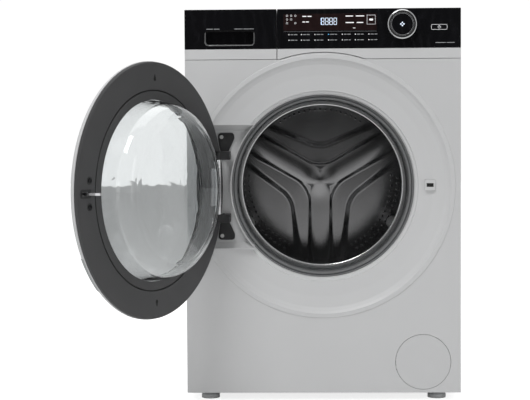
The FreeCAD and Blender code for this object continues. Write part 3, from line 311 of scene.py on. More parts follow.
def coil(wire, radius, low, high, turns, centre):
    """A helical spring about an upright axis."""
    pitch = (high - low) / turns
    ring = [(radius + wire * math.cos(step * math.pi / 4), wire * math.sin(step * math.pi / 4))
            for step in range(8)]
    item = outlined(ring, lambda point: Vector((point[0], 0.0, point[1])))
    modified(item, "SCREW", axis="Z", steps=20, render_steps=20, screw_offset=pitch, iterations=turns,
             angle=2 * math.pi)
    item.data.transform(Matrix.Translation((centre[0], centre[1], low)))
    return merged(item)


def spread(item, places):
    """Copies of a small shape at many places, joined to one piece."""
    copies = [copied(item, place) for place in places]
    bpy.data.objects.remove(item)
    return joined(copies)


def hung(item):
    """Swing a piece of the door, modelled closed, to the open pose that the frame stores."""
    turn = Matrix.Translation(HINGE) @ Matrix.Rotation(-DOOR_SWING, 4, "Z") @ Matrix.Translation(-HINGE)
    item.data.transform(turn)
    return item


def piece(item, name, body, finish, instead_of=(), smooth=34):
    """Name a finished piece, give it its finish and its body, and hide the nodes it stands for."""
    item.name = name
    item.data.name = name
    only(item)
    bpy.ops.object.transform_apply(location=True, rotation=True, scale=True)
    if smooth:
        bpy.ops.object.shade_smooth_by_angle(angle=math.radians(smooth))
        modified(item, "WEIGHTED_NORMAL", keep_sharp=True)
    item.data.materials.clear()
    item.data.materials.append(material(finish))
    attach(item, body)
    if instead_of:
        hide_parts(*instead_of)
    return item


def stretched(item, name, finish, node, first):
    """A soft piece, given its finish and its first body's name, then left without a parent in world place."""
    piece(item, name, first, finish, (node,))
    item.parent = None
    item.matrix_world = Matrix.Identity(4)
    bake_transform(item)
    return item


def carried(node, finish, width=0.0, smooth=34):
    """A copy of a CAD node, with merged edges softened by a width in millimetres, stands for it."""
    source = frame["nodes"][node]
    item = source.copy()
    item.data = source.data.copy()
    item.parent = None
    item.matrix_world = Matrix.Identity(4)
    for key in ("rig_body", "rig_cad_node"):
        del item[key]
    bpy.context.scene.collection.objects.link(item)
    only(item)
    bpy.ops.mesh.customdata_custom_splitnormals_clear()
    edit(item, (bpy.ops.mesh.remove_doubles, {"threshold": 0.005 * MM}),
         (bpy.ops.mesh.dissolve_limited, {"angle_limit": math.radians(0.3)}))
    if width:
        softened(item, width * MM)
    return piece(item, node + "_looks", BODIES[node], finish, (node,), smooth)


def painted(node, finish):
    """A CAD node that is shown as it is."""
    mesh = frame["nodes"][node].data
    mesh.materials.clear()
    mesh.materials.append(material(finish))


# ---- finishes ----

def feed(tree, value, socket):
    """Link a socket, or give it a plain value."""
    if isinstance(value, bpy.types.NodeSocket):
        tree.links.new(value, socket)
    else:
        socket.default_value = value


def add(tree, kind, **values):
    """A node in a tree. Lower-case names are its settings, capitalised names its sockets."""
    item = tree.nodes.new("ShaderNode" + kind)
    for key, value in values.items():
        if key[0].islower():
            setattr(item, key, value)
        else:
            feed(tree, value, item.inputs[key.replace("_", " ")])
    return item


def reckoned(tree, operation, first, second):
    """The result of a sum on two values."""
    item = add(tree, "Math", operation=operation)
    for index, value in enumerate((first, second)):
        feed(tree, value, item.inputs[index])
    return item.outputs[0]


def blended(tree, factor, first, second):
    """Two colours mixed by a factor."""
    item = add(tree, "Mix", data_type="RGBA")
    for index, value in ((0, factor), (6, first), (7, second)):
        feed(tree, value, item.inputs[index])
    return item.outputs[2]


SOCKETS = {"float": "NodeSocketFloat", "colour": "NodeSocketColor", "vector": "NodeSocketVector"}


def effect(name):
    """A new node group with a pattern's sockets. Gives the tree, its input sockets and its output node."""
    tree = bpy.data.node_groups.new(name, "ShaderNodeTree")
    for label, (kind, default) in PATTERN_INPUTS.items():
        socket = tree.interface.new_socket(label, in_out="INPUT", socket_type=SOCKETS[kind])
        if default is not None:
            socket.default_value = default
    for label, kind in PATTERN_OUTPUTS.items():
        tree.interface.new_socket(label, in_out="OUTPUT", socket_type=SOCKETS[kind])
    source = tree.nodes.new("NodeGroupInput")
    sink = tree.nodes.new("NodeGroupOutput")
    return tree, {socket.name: socket for socket in source.outputs if socket.name}, sink


WHITE = (1.0, 1.0, 1.0, 1.0)
PATTERN_INPUTS = {"Vector": ("vector", None), "Colour": ("colour", WHITE), "Shade": ("colour", WHITE),
                  "Scale": ("float", 100.0), "Smooth": ("float", 0.3), "Rough": ("float", 0.4)}
PATTERN_OUTPUTS = {"Colour": "colour", "Roughness": "float", "Height": "float"}


def pattern_end(tree, sink, sockets, mask, height):
    """Mix the two colours and the two roughnesses by a mask, and put them out with a height."""
    tree.links.new(blended(tree, mask, sockets["Colour"], sockets["Shade"]), sink.inputs["Colour"])
    rough = add(tree, "MapRange", Value=mask, To_Min=sockets["Smooth"], To_Max=sockets["Rough"])
    tree.links.new(rough.outputs[0], sink.inputs["Roughness"])
    tree.links.new(height, sink.inputs["Height"])
    return tree


def moulded_grain():
    """Fine stipple with slow changes of tone, for paint, plastic, rubber and castings."""
    tree, sockets, sink = effect("moulded_grain")
    fine = add(tree, "TexNoise", Vector=sockets["Vector"], Scale=sockets["Scale"], Detail=3.0, Roughness=0.6)
    slow = add(tree, "TexNoise", Vector=sockets["Vector"], Scale=4.0, Detail=3.0, Roughness=0.55)
    mask = add(tree, "MapRange", Value=slow.outputs["Fac"], From_Min=0.35, From_Max=0.65)
    return pattern_end(tree, sink, sockets, mask.outputs[0], fine.outputs["Fac"])


def smudged_gloss():
    """Polish with faint wiping marks."""
    tree, sockets, sink = effect("smudged_gloss")
    swirl = add(tree, "TexNoise", Vector=sockets["Vector"], Scale=9.0, Detail=5.0, Distortion=1.6)
    wipe = add(tree, "TexWave", Vector=sockets["Vector"], Scale=sockets["Scale"], Distortion=9.0, Detail=4.0)
    both = reckoned(tree, "MULTIPLY", swirl.outputs["Fac"], wipe.outputs["Fac"])
    mask = add(tree, "MapRange", Value=both, From_Min=0.25, From_Max=0.75)
    return pattern_end(tree, sink, sockets, mask.outputs[0], wipe.outputs["Fac"])


def turned_brushing():
    """Hair lines that run round the drum's axis, on sheet that was turned or polished."""
    tree, sockets, sink = effect("turned_brushing")
    split = add(tree, "SeparateXYZ", Vector=sockets["Vector"])
    flat = add(tree, "CombineXYZ", X=split.outputs["X"], Y=split.outputs["Z"])
    radius = add(tree, "VectorMath", operation="LENGTH")
    tree.links.new(flat.outputs[0], radius.inputs[0])
    angle = reckoned(tree, "ARCTAN2", split.outputs["Z"], split.outputs["X"])
    along = add(tree, "CombineXYZ", X=radius.outputs["Value"],
                Y=reckoned(tree, "MULTIPLY", angle, 0.02), Z=split.outputs["Y"])
    lines = add(tree, "TexNoise", Vector=along.outputs[0], Scale=sockets["Scale"], Detail=2.0)
    slow = add(tree, "TexNoise", Vector=sockets["Vector"], Scale=7.0, Detail=3.0)
    both = reckoned(tree, "MULTIPLY", lines.outputs["Fac"], slow.outputs["Fac"])
    mask = add(tree, "MapRange", Value=both, From_Min=0.12, From_Max=0.42)
    return pattern_end(tree, sink, sockets, mask.outputs[0], lines.outputs["Fac"])


def zinc_spangle():
    """The crystal flakes of zinc-coated sheet."""
    tree, sockets, sink = effect("zinc_spangle")
    flakes = add(tree, "TexVoronoi", Vector=sockets["Vector"], Scale=sockets["Scale"])
    tone = add(tree, "SeparateColor", Color=flakes.outputs["Color"])
    scratch = add(tree, "TexNoise", Vector=sockets["Vector"], Scale=600.0, Detail=2.0)
    return pattern_end(tree, sink, sockets, tone.outputs[0], scratch.outputs["Fac"])


PATTERNS = {}


def pattern(name):
    if name not in PATTERNS:
        makers = {"grain": moulded_grain, "gloss": smudged_gloss, "brushed": turned_brushing,
                  "spangle": zinc_spangle}
        PATTERNS[name] = makers[name]()
    return PATTERNS[name]


# finish: (pattern, colour, shade as a share of the colour, scale, smooth, rough, bump in mm, shader sockets)
FINISHES = {
    "white_enamel": ("grain", "white", 0.975, 1500.0, 0.20, 0.27, 0.012,
                     {"Coat Weight": 0.35, "Coat Roughness": 0.12}),
    "white_moulding": ("grain", "white", 0.97, 2600.0, 0.36, 0.46, 0.010, {}),
    "white_satin": ("grain", (0.70, 0.71, 0.715), 0.96, 2200.0, 0.30, 0.42, 0.015, {}),
    "piano_black": ("gloss", "black", 1.6, 14.0, 0.05, 0.12, 0.002, {"Specular IOR Level": 0.32}),
    "black_stipple": ("grain", (0.012, 0.012, 0.013), 1.5, 2400.0, 0.32, 0.5, 0.03, {}),
    "charcoal_moulding": ("grain", "charcoal", 0.86, 1900.0, 0.30, 0.40, 0.018, {}),
    "grey_moulding": ("grain", (0.42, 0.43, 0.44), 0.92, 1800.0, 0.38, 0.52, 0.02, {}),
    "chrome_plate": ("gloss", (0.80, 0.81, 0.82), 0.93, 30.0, 0.05, 0.14, 0.002, {"Metallic": 1.0}),
    "drum_steel": ("brushed", "steel", 0.80, 2600.0, 0.11, 0.21, 0.01, {"Metallic": 1.0}),
    "lip_steel": ("brushed", (0.86, 0.865, 0.87), 0.95, 2600.0, 0.16, 0.26, 0.003, {"Metallic": 1.0}),
    "black_gloss_screw": ("grain", (0.012, 0.012, 0.013), 1.4, 1500.0, 0.16, 0.24, 0.01, {"Metallic": 0.6}),
    "bright_steel": ("brushed", (0.62, 0.62, 0.63), 0.86, 2200.0, 0.12, 0.24, 0.006, {"Metallic": 1.0}),
    "zinc_sheet": ("spangle", (0.60, 0.61, 0.62), 0.78, 130.0, 0.28, 0.45, 0.01, {"Metallic": 0.9}),
    "zinc_bolt": ("grain", (0.58, 0.58, 0.57), 0.85, 900.0, 0.22, 0.36, 0.01, {"Metallic": 1.0}),
    "spring_wire": ("grain", (0.16, 0.16, 0.17), 0.8, 900.0, 0.25, 0.4, 0.02, {"Metallic": 0.9}),
    "cast_alloy": ("grain", (0.55, 0.55, 0.56), 0.85, 500.0, 0.40, 0.58, 0.08, {"Metallic": 1.0}),
    "motor_lacquer": ("grain", (0.05, 0.05, 0.055), 1.4, 700.0, 0.30, 0.45, 0.05, {"Metallic": 0.3}),
    "copper_coil": ("grain", (0.52, 0.22, 0.08), 0.8, 900.0, 0.25, 0.4, 0.03, {"Metallic": 0.9}),
    "cast_weight": ("grain", (0.22, 0.22, 0.215), 0.8, 220.0, 0.60, 0.8, 0.25, {}),
    "gasket_rubber": ("grain", "gasket", 0.85, 2200.0, 0.42, 0.55, 0.02, {"Sheen Weight": 0.1}),
    "hose_rubber": ("grain", (0.02, 0.02, 0.02), 1.4, 1200.0, 0.5, 0.65, 0.03, {}),
    "board_green": ("grain", (0.012, 0.09, 0.035), 0.8, 400.0, 0.25, 0.4, 0.02, {}),
    "tray_plastic": ("grain", (0.62, 0.64, 0.66), 0.96, 2000.0, 0.22, 0.32, 0.01, {}),
    "siphon_blue": ("grain", (0.10, 0.28, 0.50), 0.9, 2000.0, 0.25, 0.36, 0.01, {}),
    # painted shade: a near-black finish for thin sheets put where holes, slots and grooves show only shade
    "dark_hollow": ("grain", (0.004, 0.004, 0.004), 1.2, 900.0, 0.6, 0.8, 0.01, {}),
    "mark_grey": ("grain", (0.40, 0.41, 0.42), 0.9, 1500.0, 0.3, 0.4, 0.002, {}),
    "display_tint": ("gloss", (0.018, 0.010, 0.010), 1.3, 14.0, 0.05, 0.12, 0.002,
                     {"Specular IOR Level": 0.3}),
    "studio_floor": ("grain", (0.88, 0.88, 0.88), 0.99, 60.0, 0.6, 0.75, 0.01, {"Emission Color": WHITE}),
}
# lamp: (colour, strength)
LAMPS = {"lit_mark": ("lit", 0.95), "lit_blue": ((0.10, 0.42, 0.75), 0.9),
         "lit_white": ((0.9, 0.9, 0.92), 0.55)}
MATERIALS = {}


def tint(colour, share=1.0):
    values = getattr(colours(), colour) if isinstance(colour, str) else colour
    return (*[min(1.0, value * share) for value in values], 1.0)


def shaded(name):
    """An empty material with its shader and its object coordinates, centred on the porthole."""
    item = bpy.data.materials.new(name)
    item.use_nodes = True
    tree = item.node_tree
    shader = tree.nodes["Principled BSDF"]
    place = add(tree, "TexCoord")
    centred = add(tree, "Mapping", Vector=place.outputs["Object"], Location=(0.0, 0.0, -AXIS_Z))
    return item, tree, shader, centred.outputs[0]


def patterned(name):
    kind, colour, share, scale, smooth, rough, bump, settings = FINISHES[name]
    item, tree, shader, place = shaded(name)
    source = tree.nodes.new("ShaderNodeGroup")
    source.node_tree = pattern(kind)
    tree.links.new(place, source.inputs["Vector"])
    for label, value in (("Colour", tint(colour)), ("Shade", tint(colour, share)), ("Scale", scale),
                         ("Smooth", smooth), ("Rough", rough)):
        source.inputs[label].default_value = value
    tree.links.new(source.outputs["Colour"], shader.inputs["Base Color"])
    tree.links.new(source.outputs["Roughness"], shader.inputs["Roughness"])
    raised = add(tree, "Bump", Height=source.outputs["Height"], Strength=1.0, Distance=bump * MM)
    tree.links.new(raised.outputs[0], shader.inputs["Normal"])
    for label, value in settings.items():
        shader.inputs[label].default_value = value
    return item


def clear(name, tone, roughness):
    """Clear glass with faint ripples."""
    item, tree, shader, place = shaded(name)
    ripple = add(tree, "TexNoise", Vector=place, Scale=26.0, Detail=1.0)
    raised = add(tree, "Bump", Height=ripple.outputs["Fac"], Strength=0.35, Distance=0.25 * MM)
    tree.links.new(raised.outputs[0], shader.inputs["Normal"])
    film = add(tree, "TexNoise", Vector=place, Scale=9.0, Detail=3.0)
    haze = add(tree, "MapRange", Value=film.outputs["Fac"], To_Min=roughness * 0.5, To_Max=roughness * 1.5)
    tree.links.new(haze.outputs[0], shader.inputs["Roughness"])
    tree.links.new(blended(tree, film.outputs["Fac"], tone, tuple(value * 0.985 for value in tone)),
                   shader.inputs["Base Color"])
    shader.inputs["Transmission Weight"].default_value = 1.0
    shader.inputs["IOR"].default_value = 1.5
    return item


def lit(name):
    colour, strength = LAMPS[name]
    item, tree, shader, place = shaded(name)
    glow = add(tree, "TexNoise", Vector=place, Scale=300.0, Detail=1.0)
    tone = blended(tree, glow.outputs["Fac"], tint(colour, 0.85), tint(colour))
    tree.links.new(tone, shader.inputs["Emission Color"])
    tree.links.new(tone, shader.inputs["Base Color"])
    shader.inputs["Emission Strength"].default_value = strength
    shader.inputs["Roughness"].default_value = 0.4
    return item


def material(name):
    if name not in MATERIALS:
        if name in FINISHES:
            MATERIALS[name] = patterned(name)
        elif name in LAMPS:
            MATERIALS[name] = lit(name)
        elif name == "bowl_glass":
            MATERIALS[name] = clear(name, (0.97, 0.985, 0.985, 1.0), 0.01)
        else:
            MATERIALS[name] = clear(name, (0.93, 0.95, 0.955, 1.0), 0.02)
    return MATERIALS[name]


# ---- the pieces ----

class WasherOperator:
    """What every operator of this add-on has in common."""
    bl_options = {"REGISTER", "UNDO"}

    def execute(self, context):
        self.build()
        return {"FINISHED"}


class WASHER_OT_cabinet(WasherOperator, bpy.types.Operator):
    """White sheets, worktop, base pan and rear panel"""
    bl_idname = "washer.cabinet"
    bl_label = "Cabinet"

    def build(self):
        carried("side_panels", "white_enamel", 0.3)
        carried("front_panel", "white_enamel", 0.4)
        carried("worktop", "white_moulding", 2.0)
        carried("base_pan", "grey_moulding", 0.6)
        carried("rear_panel", "zinc_sheet", 0.2)
        carried("rear_cover", "zinc_sheet", 0.4)
        carried("suspension_crossbar", "zinc_sheet", 0.3)
        carried("cabinet_screws", "zinc_bolt", 0.4)


class WASHER_OT_surround(WasherOperator, bpy.types.Operator):
    """Moulded dish round the porthole, with the lock behind it"""
    bl_idname = "washer.surround"
    bl_label = "Door surround"

    def build(self):
        dish = turned(profile(
            FRONT, (286, 0), (285.4, -1.5, 0.8), (276.5, -1.5, 1.2), (271.5, 2.2, 3.0), (264, 6.0, 12.0),
            (240, 11.8, 60.0), (209.6, 15.8, 2.0), (207.6, 15.6, 0.8), (206.6, 18.2, 0.8), (201.5, 20, 2.0),
            (199, 24, 2.0), (199, 40), (201.5, 40), (201.5, 25), (203.5, 22.6), (209, 19.5), (240, 15.2),
            (271.5, 8.5), (278.5, 3.5), (278.5, 0)), steps=256)
        window = brick(LOCK - Vector((11.2, 5, 11.7)) * MM, LOCK + Vector((11.2, 30, 11.7)) * MM)
        opening = slab(self.sector(277.2, 201.6, POCKET_HALF), FRONT - 9 * MM, FRONT + 38 * MM)
        cut_out(dish, opening, window)
        piece(dish, "door_surround_looks", "cabinet", "white_moulding",
              ("door_surround",), smooth=32)
        carried("door_lock", "white_moulding", 0.5)
        # painted shade: a near-black block inside the lock window stands for the shade in the slot
        slot_shade = brick(LOCK + Vector((-7.2, 7.6, -3.8)) * MM, LOCK + Vector((7.2, 36, 3.8)) * MM)
        piece(slot_shade, "lock_slot_lining", "cabinet", "dark_hollow")

        self.pocket()

    def sector(self, outside, inside, half_tall):
        """The part of a ring beside the hinge, between two levels, in metres."""
        def arc(radius):
            reach = math.asin(half_tall / radius)
            return [(-radius * math.cos(reach * share) * MM, AXIS_Z + radius * math.sin(reach * share) * MM)
                    for share in [index / 24 for index in range(-24, 25)]]
        return arc(outside) + arc(inside)[::-1]

    def pocket(self):
        """The recess that the door's edge swings into: a floor and its walls."""
        near, wall = FRONT + 4 * MM, 2.5 * MM
        half = POCKET_HALF + 2.5
        parts = [slab(self.sector(278.2, 201.0, half), POCKET_FLOOR, POCKET_FLOOR + wall),
                 slab(self.sector(278.2, 277.2, half), near, POCKET_FLOOR)]
        for side in (-1, 1):
            edge = AXIS_Z + side * POCKET_HALF * MM
            low, high = sorted((edge, AXIS_Z + side * half * MM))
            parts.append(brick((POCKET_LEFT, near + 1 * MM, low), (-147 * MM, POCKET_FLOOR, high)))
            ramp = [(POCKET_FLOOR, edge), (POCKET_FLOOR - 14 * MM, edge),
                    (POCKET_FLOOR, AXIS_Z + side * (POCKET_HALF - 12) * MM)]
            parts.append(slab(ramp, POCKET_LEFT, -150 * MM, plane="side"))
        piece(joined(parts), "door_surround_pocket", "cabinet", "white_moulding")


class WASHER_OT_hinge(WasherOperator, bpy.types.Operator):
    """Hinge brackets and pins"""
    bl_idname = "washer.hinge"
    bl_label = "Hinge"

    def build(self):
        parts = []
        for side in (-1, 1):
            near = AXIS_Z + side * 59 * MM
            drop = fillet([(HINGE.x + x * MM, AXIS_Z + side * z * MM, corner * MM) for x, z, corner in (
                (5, 59, 3), (12, 59, 3), (33, 105, 8), (32, 117, 7), (-3, 117, 7), (-3, 103, 8))], 6)
            plate = slab(drop, POCKET_FLOOR - 5 * MM, POCKET_FLOOR)
            softened(plate, 1.4 * MM, 3)
            low, high = sorted((near, near + side * 18 * MM))
            arm = brick((HINGE.x + 12.5 * MM, HINGE.y - 6 * MM, low),
                        (HINGE.x + 24.5 * MM, POCKET_FLOOR, high))
            bridge = brick((HINGE.x, HINGE.y - 6 * MM, low), (HINGE.x + 14 * MM, HINGE.y + 6 * MM, high))
            parts += [plate, softened(arm, 1.5 * MM, 3), softened(bridge, 1.0 * MM, 2),
                      rod(7 * MM, (HINGE.x, HINGE.y, low), (HINGE.x, HINGE.y, high), 32)]
            boss = profile(POCKET_FLOOR, (0, -6), (6.4, -6), (7.2, -5.2), (7.2, -4.8), (0, -4.8))
            parts.append(turned(boss, 40, (HINGE.x + 5 * MM, AXIS_Z + side * 108 * MM)))
        piece(joined(parts), "hinge_brackets_looks", "cabinet", "black_stipple",
              ("hinge_brackets",))
        carried("hinge_pins", "chrome_plate", 0.4)
        carried("door_hinge_leaf", "bright_steel", 0.4)


class WASHER_OT_gasket(WasherOperator, bpy.types.Operator):
    """Folded rubber gasket between porthole and tub"""
    bl_idname = "washer.gasket"
    bl_label = "Gasket"

    def build(self):
        bellows = turned(profile(
            FRONT,
            (198.8, 27.2, 0.8), (195.6, 27.2, 1.4), (195.2, 33, 1.0), (193.6, 33, 0.7), (193.2, 28.4, 1.0),
            (189.2, 28.4, 1.6), (188.0, 33, 2.0), (188.2, 38, 2.0), (190.6, 44, 3.0), (193.4, 46.6, 2.0),
            (213.8, 48, 3.0), (213.8, 53, 2.0), (205.0, 56, 2.0), (205.0, 59, 2.0), (213.8, 62, 2.0),
            (213.8, 69.6, 3.0), (193.2, 76.8, 2.0), (191.6, 80, 1.5), (192.6, 93.4), (195.6, 93.4),
            (195.6, 79.8, 1.0), (205, 79.6), (217.6, 72.6, 3.0), (217.6, 60, 2.0), (209.0, 57.6, 1.5),
            (217.6, 54.8, 2.0), (217.6, 44, 2.0), (198.8, 41.2)), steps=200)
        stretched(bellows, "door_gasket_looks", "gasket_rubber", "door_gasket", "cabinet")


class WASHER_OT_drum(WasherOperator, bpy.types.Operator):
    """Perforated drum with its front ring, lifters and spider"""
    bl_idname = "washer.drum"
    bl_label = "Drum"

    def build(self):
        carried("drum_shell", "drum_steel")
        lip = turned(profile(
            DRUM_FRONT, (178, 4.5, 3.2), (178.4, 0, 2.6), (187, 0.2, 3), (190, 2.4, 2), (230, 3.4, 8),
            (239, 11, 4), (239, 22), (238, 22), (238, 11.6, 4), (229.6, 4.4, 7), (189.6, 3.4),
            (186.6, 1.2, 2), (179.8, 1.2, 1.6), (179, 9), (178, 9)), steps=220)
        piece(lip, "drum_front_ring_looks", "drum", "lip_steel", ("drum_front_ring",),
              smooth=60)
        carried("drum_lifters", "white_satin", 4.0)
        self.star()
        self.holes()
        carried("drum_spider", "cast_alloy")
        carried("rotor", "motor_lacquer", 0.6)

    def star(self):
        """The back wall, with a three-armed star pressed forward in it."""
        rings = 130
        face, back = DRUM_BACK, DRUM_BACK + 1 * MM
        outline = [(index / rings * DRUM_RADIUS, face) for index in range(rings + 1)]
        item = turned(outline + [(DRUM_RADIUS, back), (0.0, back)], steps=400)
        for vertex in item.data.vertices:
            if vertex.co.y < face + 0.5 * MM:
                vertex.co.y -= star_height(vertex.co.x / MM, (vertex.co.z - AXIS_Z) / MM) * MM
        piece(item, "drum_back_looks", "drum", "drum_steel", ("drum_back",), smooth=70)

    def holes(self):
        """Rows of punched holes: a painted shade disc for each hole, in a pressed rim."""
        hole, pitch = sizes().hole, sizes().hole_pitch
        back_places, shell_places = [], []
        centred = Matrix.Translation((0.0, 0.0, AXIS_Z))
        for sector in LIFTERS:
            for row, radius in enumerate((176 * MM, 190 * MM)):
                for number in range(-8, 9 - row):
                    angle = math.radians(sector) + (number + row / 2) * pitch
                    back_places.append(centred @ Matrix.Translation(
                        (radius * math.cos(angle), DRUM_BACK, radius * math.sin(angle))))
        for column in range(40):
            if min(abs((column * 9 - lifter + 180) % 360 - 180) for lifter in LIFTERS) < 10:
                continue
            turn = centred @ Matrix.Rotation(-math.radians(column * 9), 4, "Y")
            for row in range(13):
                along = -130 * MM + (row + column % 2 / 2) * 20 * MM
                shell_places.append(turn @ Matrix.Translation((DRUM_RADIUS - 1 * MM, along, 0.0))
                                    @ Matrix.Rotation(-math.pi / 2, 4, "Z"))
        for name, places in (("drum_back", back_places), ("drum_shell", shell_places)):
            # painted shade: a thin near-black disc in each hole stands for the shade seen through it
            shade_disc = turned([(0.0, -0.15 * MM), (hole, -0.15 * MM), (hole, 0.0), (0.0, 0.0)], 12, (0.0, 0.0))
            piece(spread(shade_disc, places), name + "_hole_mouths", "drum", "dark_hollow")
            rim = turned([(hole, -0.4 * MM), (hole * 1.25, -0.3 * MM), (hole * 1.4, 0.0), (hole, 0.0)], 12,
                         (0.0, 0.0))
            piece(spread(rim, places), name + "_hole_rims", "drum", "drum_steel")


def step_up(distance, width):
    """From 0 to 1 across a line, smoothly."""
    share = min(1.0, max(0.0, 0.5 - distance / (2 * width)))
    return share * share * (3 - 2 * share)


def contour(along, across, angle, offset, corner):
    """Distance into a sector that two lines bound, with a round corner between them."""
    centre = (corner + offset) / math.sin(angle)
    if math.atan2(across, centre - along) < math.pi / 2 - angle:
        return corner - math.hypot(along - centre, across)
    return along * math.sin(angle) - across * math.cos(angle) - offset


def star_height(x, z):
    """How far the star stands forward of the drum's back, in millimetres."""
    step = sizes().star_step / MM
    radius = math.hypot(x, z)
    angle = math.degrees(math.atan2(z, x))
    off = (angle - 90 + 60) % 120 - 60
    along, across = radius * math.cos(math.radians(off)), abs(radius * math.sin(math.radians(off)))
    outer = contour(along, across, math.radians(67.1), 75.7, 68.0)
    inner = contour(along, across, math.radians(60.0), 26.5, 67.0)
    rim = 1.0 - min(1.0, max(0.0, (radius - 222.0) / 14.0))
    height = step * step_up(outer, 8.0) + 0.8 * step * step_up(inner, 5.0)
    crown = max(0.0, 1.0 - ((60.0 - abs(off)) * radius / 1600.0) ** 2)
    height += 0.8 * step * crown * step_up(inner, 14.0)
    return height * rim + 1.6 * step * math.exp(-(radius / 26.0) ** 2)


class WASHER_OT_door(WasherOperator, bpy.types.Operator):
    """Door rings, glass bowl, window and hook"""
    bl_idname = "washer.door"
    bl_label = "Door"

    def build(self):
        carried("door_inner_ring", "charcoal_moulding", 0.4)
        carried("door_outer_ring", "white_moulding", 0.5)
        carried("door_cover", "window_glass", smooth=60)
        carried("door_glass", "bowl_glass", smooth=60)
        carried("door_hook", "bright_steel", 0.4)
        drop_shades, heads, seats = [], [], []
        for side in (-1, 1):
            middle_z = AXIS_Z + side * 226 * MM
            # painted shade: near-black teardrops on the inner ring stand for the shade in drop-shaped hollows
            drop = profile(middle_z, (-4.6, -2 * side, 3), (0, 11 * side, 1), (4.6, -2 * side, 3),
                           (0, -6 * side, 4))
            drop_shades.append(slab(drop, DOOR_FACE - 0.4 * MM, DOOR_FACE + 0.25 * MM))
            screw = (LOCK.x - 12 * MM, LOCK.z + side * 25 * MM)
            seats.append(turned(profile(DOOR_FACE, (0, 0), (8, 0), (7.6, 0.5), (0, 0.5)), 40, screw))
            head = turned(profile(DOOR_FACE, (0, 0.4), (5.2, 0.4), (5.0, 1.7), (3.4, 2.5), (0, 2.7)),
                          32, screw)
            cross = [brick((screw[0] - a * MM, DOOR_FACE + 1.4 * MM, screw[1] - b * MM),
                           (screw[0] + a * MM, DOOR_FACE + 4 * MM, screw[1] + b * MM))
                     for a, b in ((2.6, 0.6), (0.6, 2.6))]
            heads.append(cut_out(head, *cross))
        piece(hung(joined(drop_shades)), "door_ring_drops", "door", "dark_hollow")
        piece(hung(joined(seats)), "latch_screw_seats", "door", "black_stipple")
        piece(hung(joined(heads)), "latch_screws", "door", "black_gloss_screw")
        rim = box_outline(LOCK.x - 16 * MM, LOCK.z - 8.5 * MM, LOCK.x + 16 * MM, LOCK.z + 8.5 * MM, 3 * MM)
        surround = slab(rim, DOOR_FACE - 0.3 * MM, DOOR_FACE + 0.5 * MM)
        window = brick((LOCK.x - 12.5 * MM, DOOR_FACE - 3 * MM, LOCK.z - 4.4 * MM),
                       (LOCK.x + 12.5 * MM, DOOR_FACE + 3 * MM, LOCK.z + 4.4 * MM))
        piece(hung(cut_out(surround, window)), "latch_window_frame", "door", "black_stipple")
        # painted shade: a thin near-black ring in the door's groove stands for the shade in it
        groove_shade = turned(profile(DOOR_FACE, (201.6, -1.9), (203.4, -1.9), (203.4, -1.0), (201.6, -1.0)), 180)
        piece(hung(groove_shade), "door_groove_lining", "door", "dark_hollow")
        self.grip()

    def grip(self):
        """The grey finger grip in the lower edge of the door's shell."""
        radius = 261.0
        outline = fillet([(radius * MM, FRONT - 31.5 * MM, 1 * MM),
                          (radius * MM + 0.1 * MM, FRONT - 28 * MM, 1 * MM),
                          ((radius - 3) * MM, FRONT - 27.5 * MM), ((radius - 6) * MM, FRONT - 36 * MM),
                          ((radius - 2.2) * MM, FRONT - 36.4 * MM, 1 * MM)], 3)
        item = outlined(outline, lambda point: Vector((point[0], point[1], AXIS_Z)))
        edit(item, (bpy.ops.mesh.edge_face_add, {}),
             (bpy.ops.mesh.spin, {"steps": 24, "angle": math.radians(18), "center": (0, 0, AXIS_Z),
                                  "axis": (0, 1, 0)}))
        merged(item)
        item.data.transform(Matrix.Translation((0, 0, AXIS_Z)) @ Matrix.Rotation(math.radians(46), 4, "Y")
                            @ Matrix.Translation((0, 0, -AXIS_Z)))
        piece(hung(item), "door_grip", "door", "grey_moulding")


DIGIT_BARS = {"1": "bc", "8": "abcdefg"}


def digit(figure, left, low, tall):
    """A seven-bar display digit."""
    wide, bar = tall * 0.46, tall * 0.062
    middle_z, gap = low + tall / 2, bar * 0.35
    across = {"a": low + tall - bar / 2, "g": middle_z, "d": low + bar / 2}
    near, far = left + bar / 2, left + wide - bar / 2
    upright = {"f": (near, middle_z, low + tall), "b": (far, middle_z, low + tall),
               "e": (near, low, middle_z), "c": (far, low, middle_z)}
    bars = []
    for key in DIGIT_BARS[figure]:
        if key in across:
            z = across[key]
            bars.append(mark(left + bar * 0.6 + gap, z - bar / 2, left + wide - bar * 0.6 - gap, z + bar / 2))
        else:
            x, start, stop = upright[key]
            bars.append(mark(x - bar / 2, start + bar * 0.6, x + bar / 2, stop - bar * 0.6))
    return bars


def mark(left, low, right, high, proud=0.0):
    """A thin printed bar on the front of the strip."""
    radius = min(right - left, high - low) * 0.3
    thick = sizes().mark
    corners = [(left, low, radius), (right, low, radius), (right, high, radius), (left, high, radius)]
    return slab(fillet(corners, 2), FRONT - thick - proud, FRONT - proud)


def label(left, right, drop, tall):
    """A printed bar between two places across, at a drop below the top, all in millimetres."""
    return mark(left * MM, TOP - (drop + tall) * MM, right * MM, TOP - drop * MM)


def hoop(centre, radius, line, proud=0.0, steps=40):
    """A thin printed circle."""
    near, far = FRONT - sizes().mark - proud, FRONT - proud
    return turned([(radius - line, near), (radius, near), (radius, far), (radius - line, far)], steps, centre)


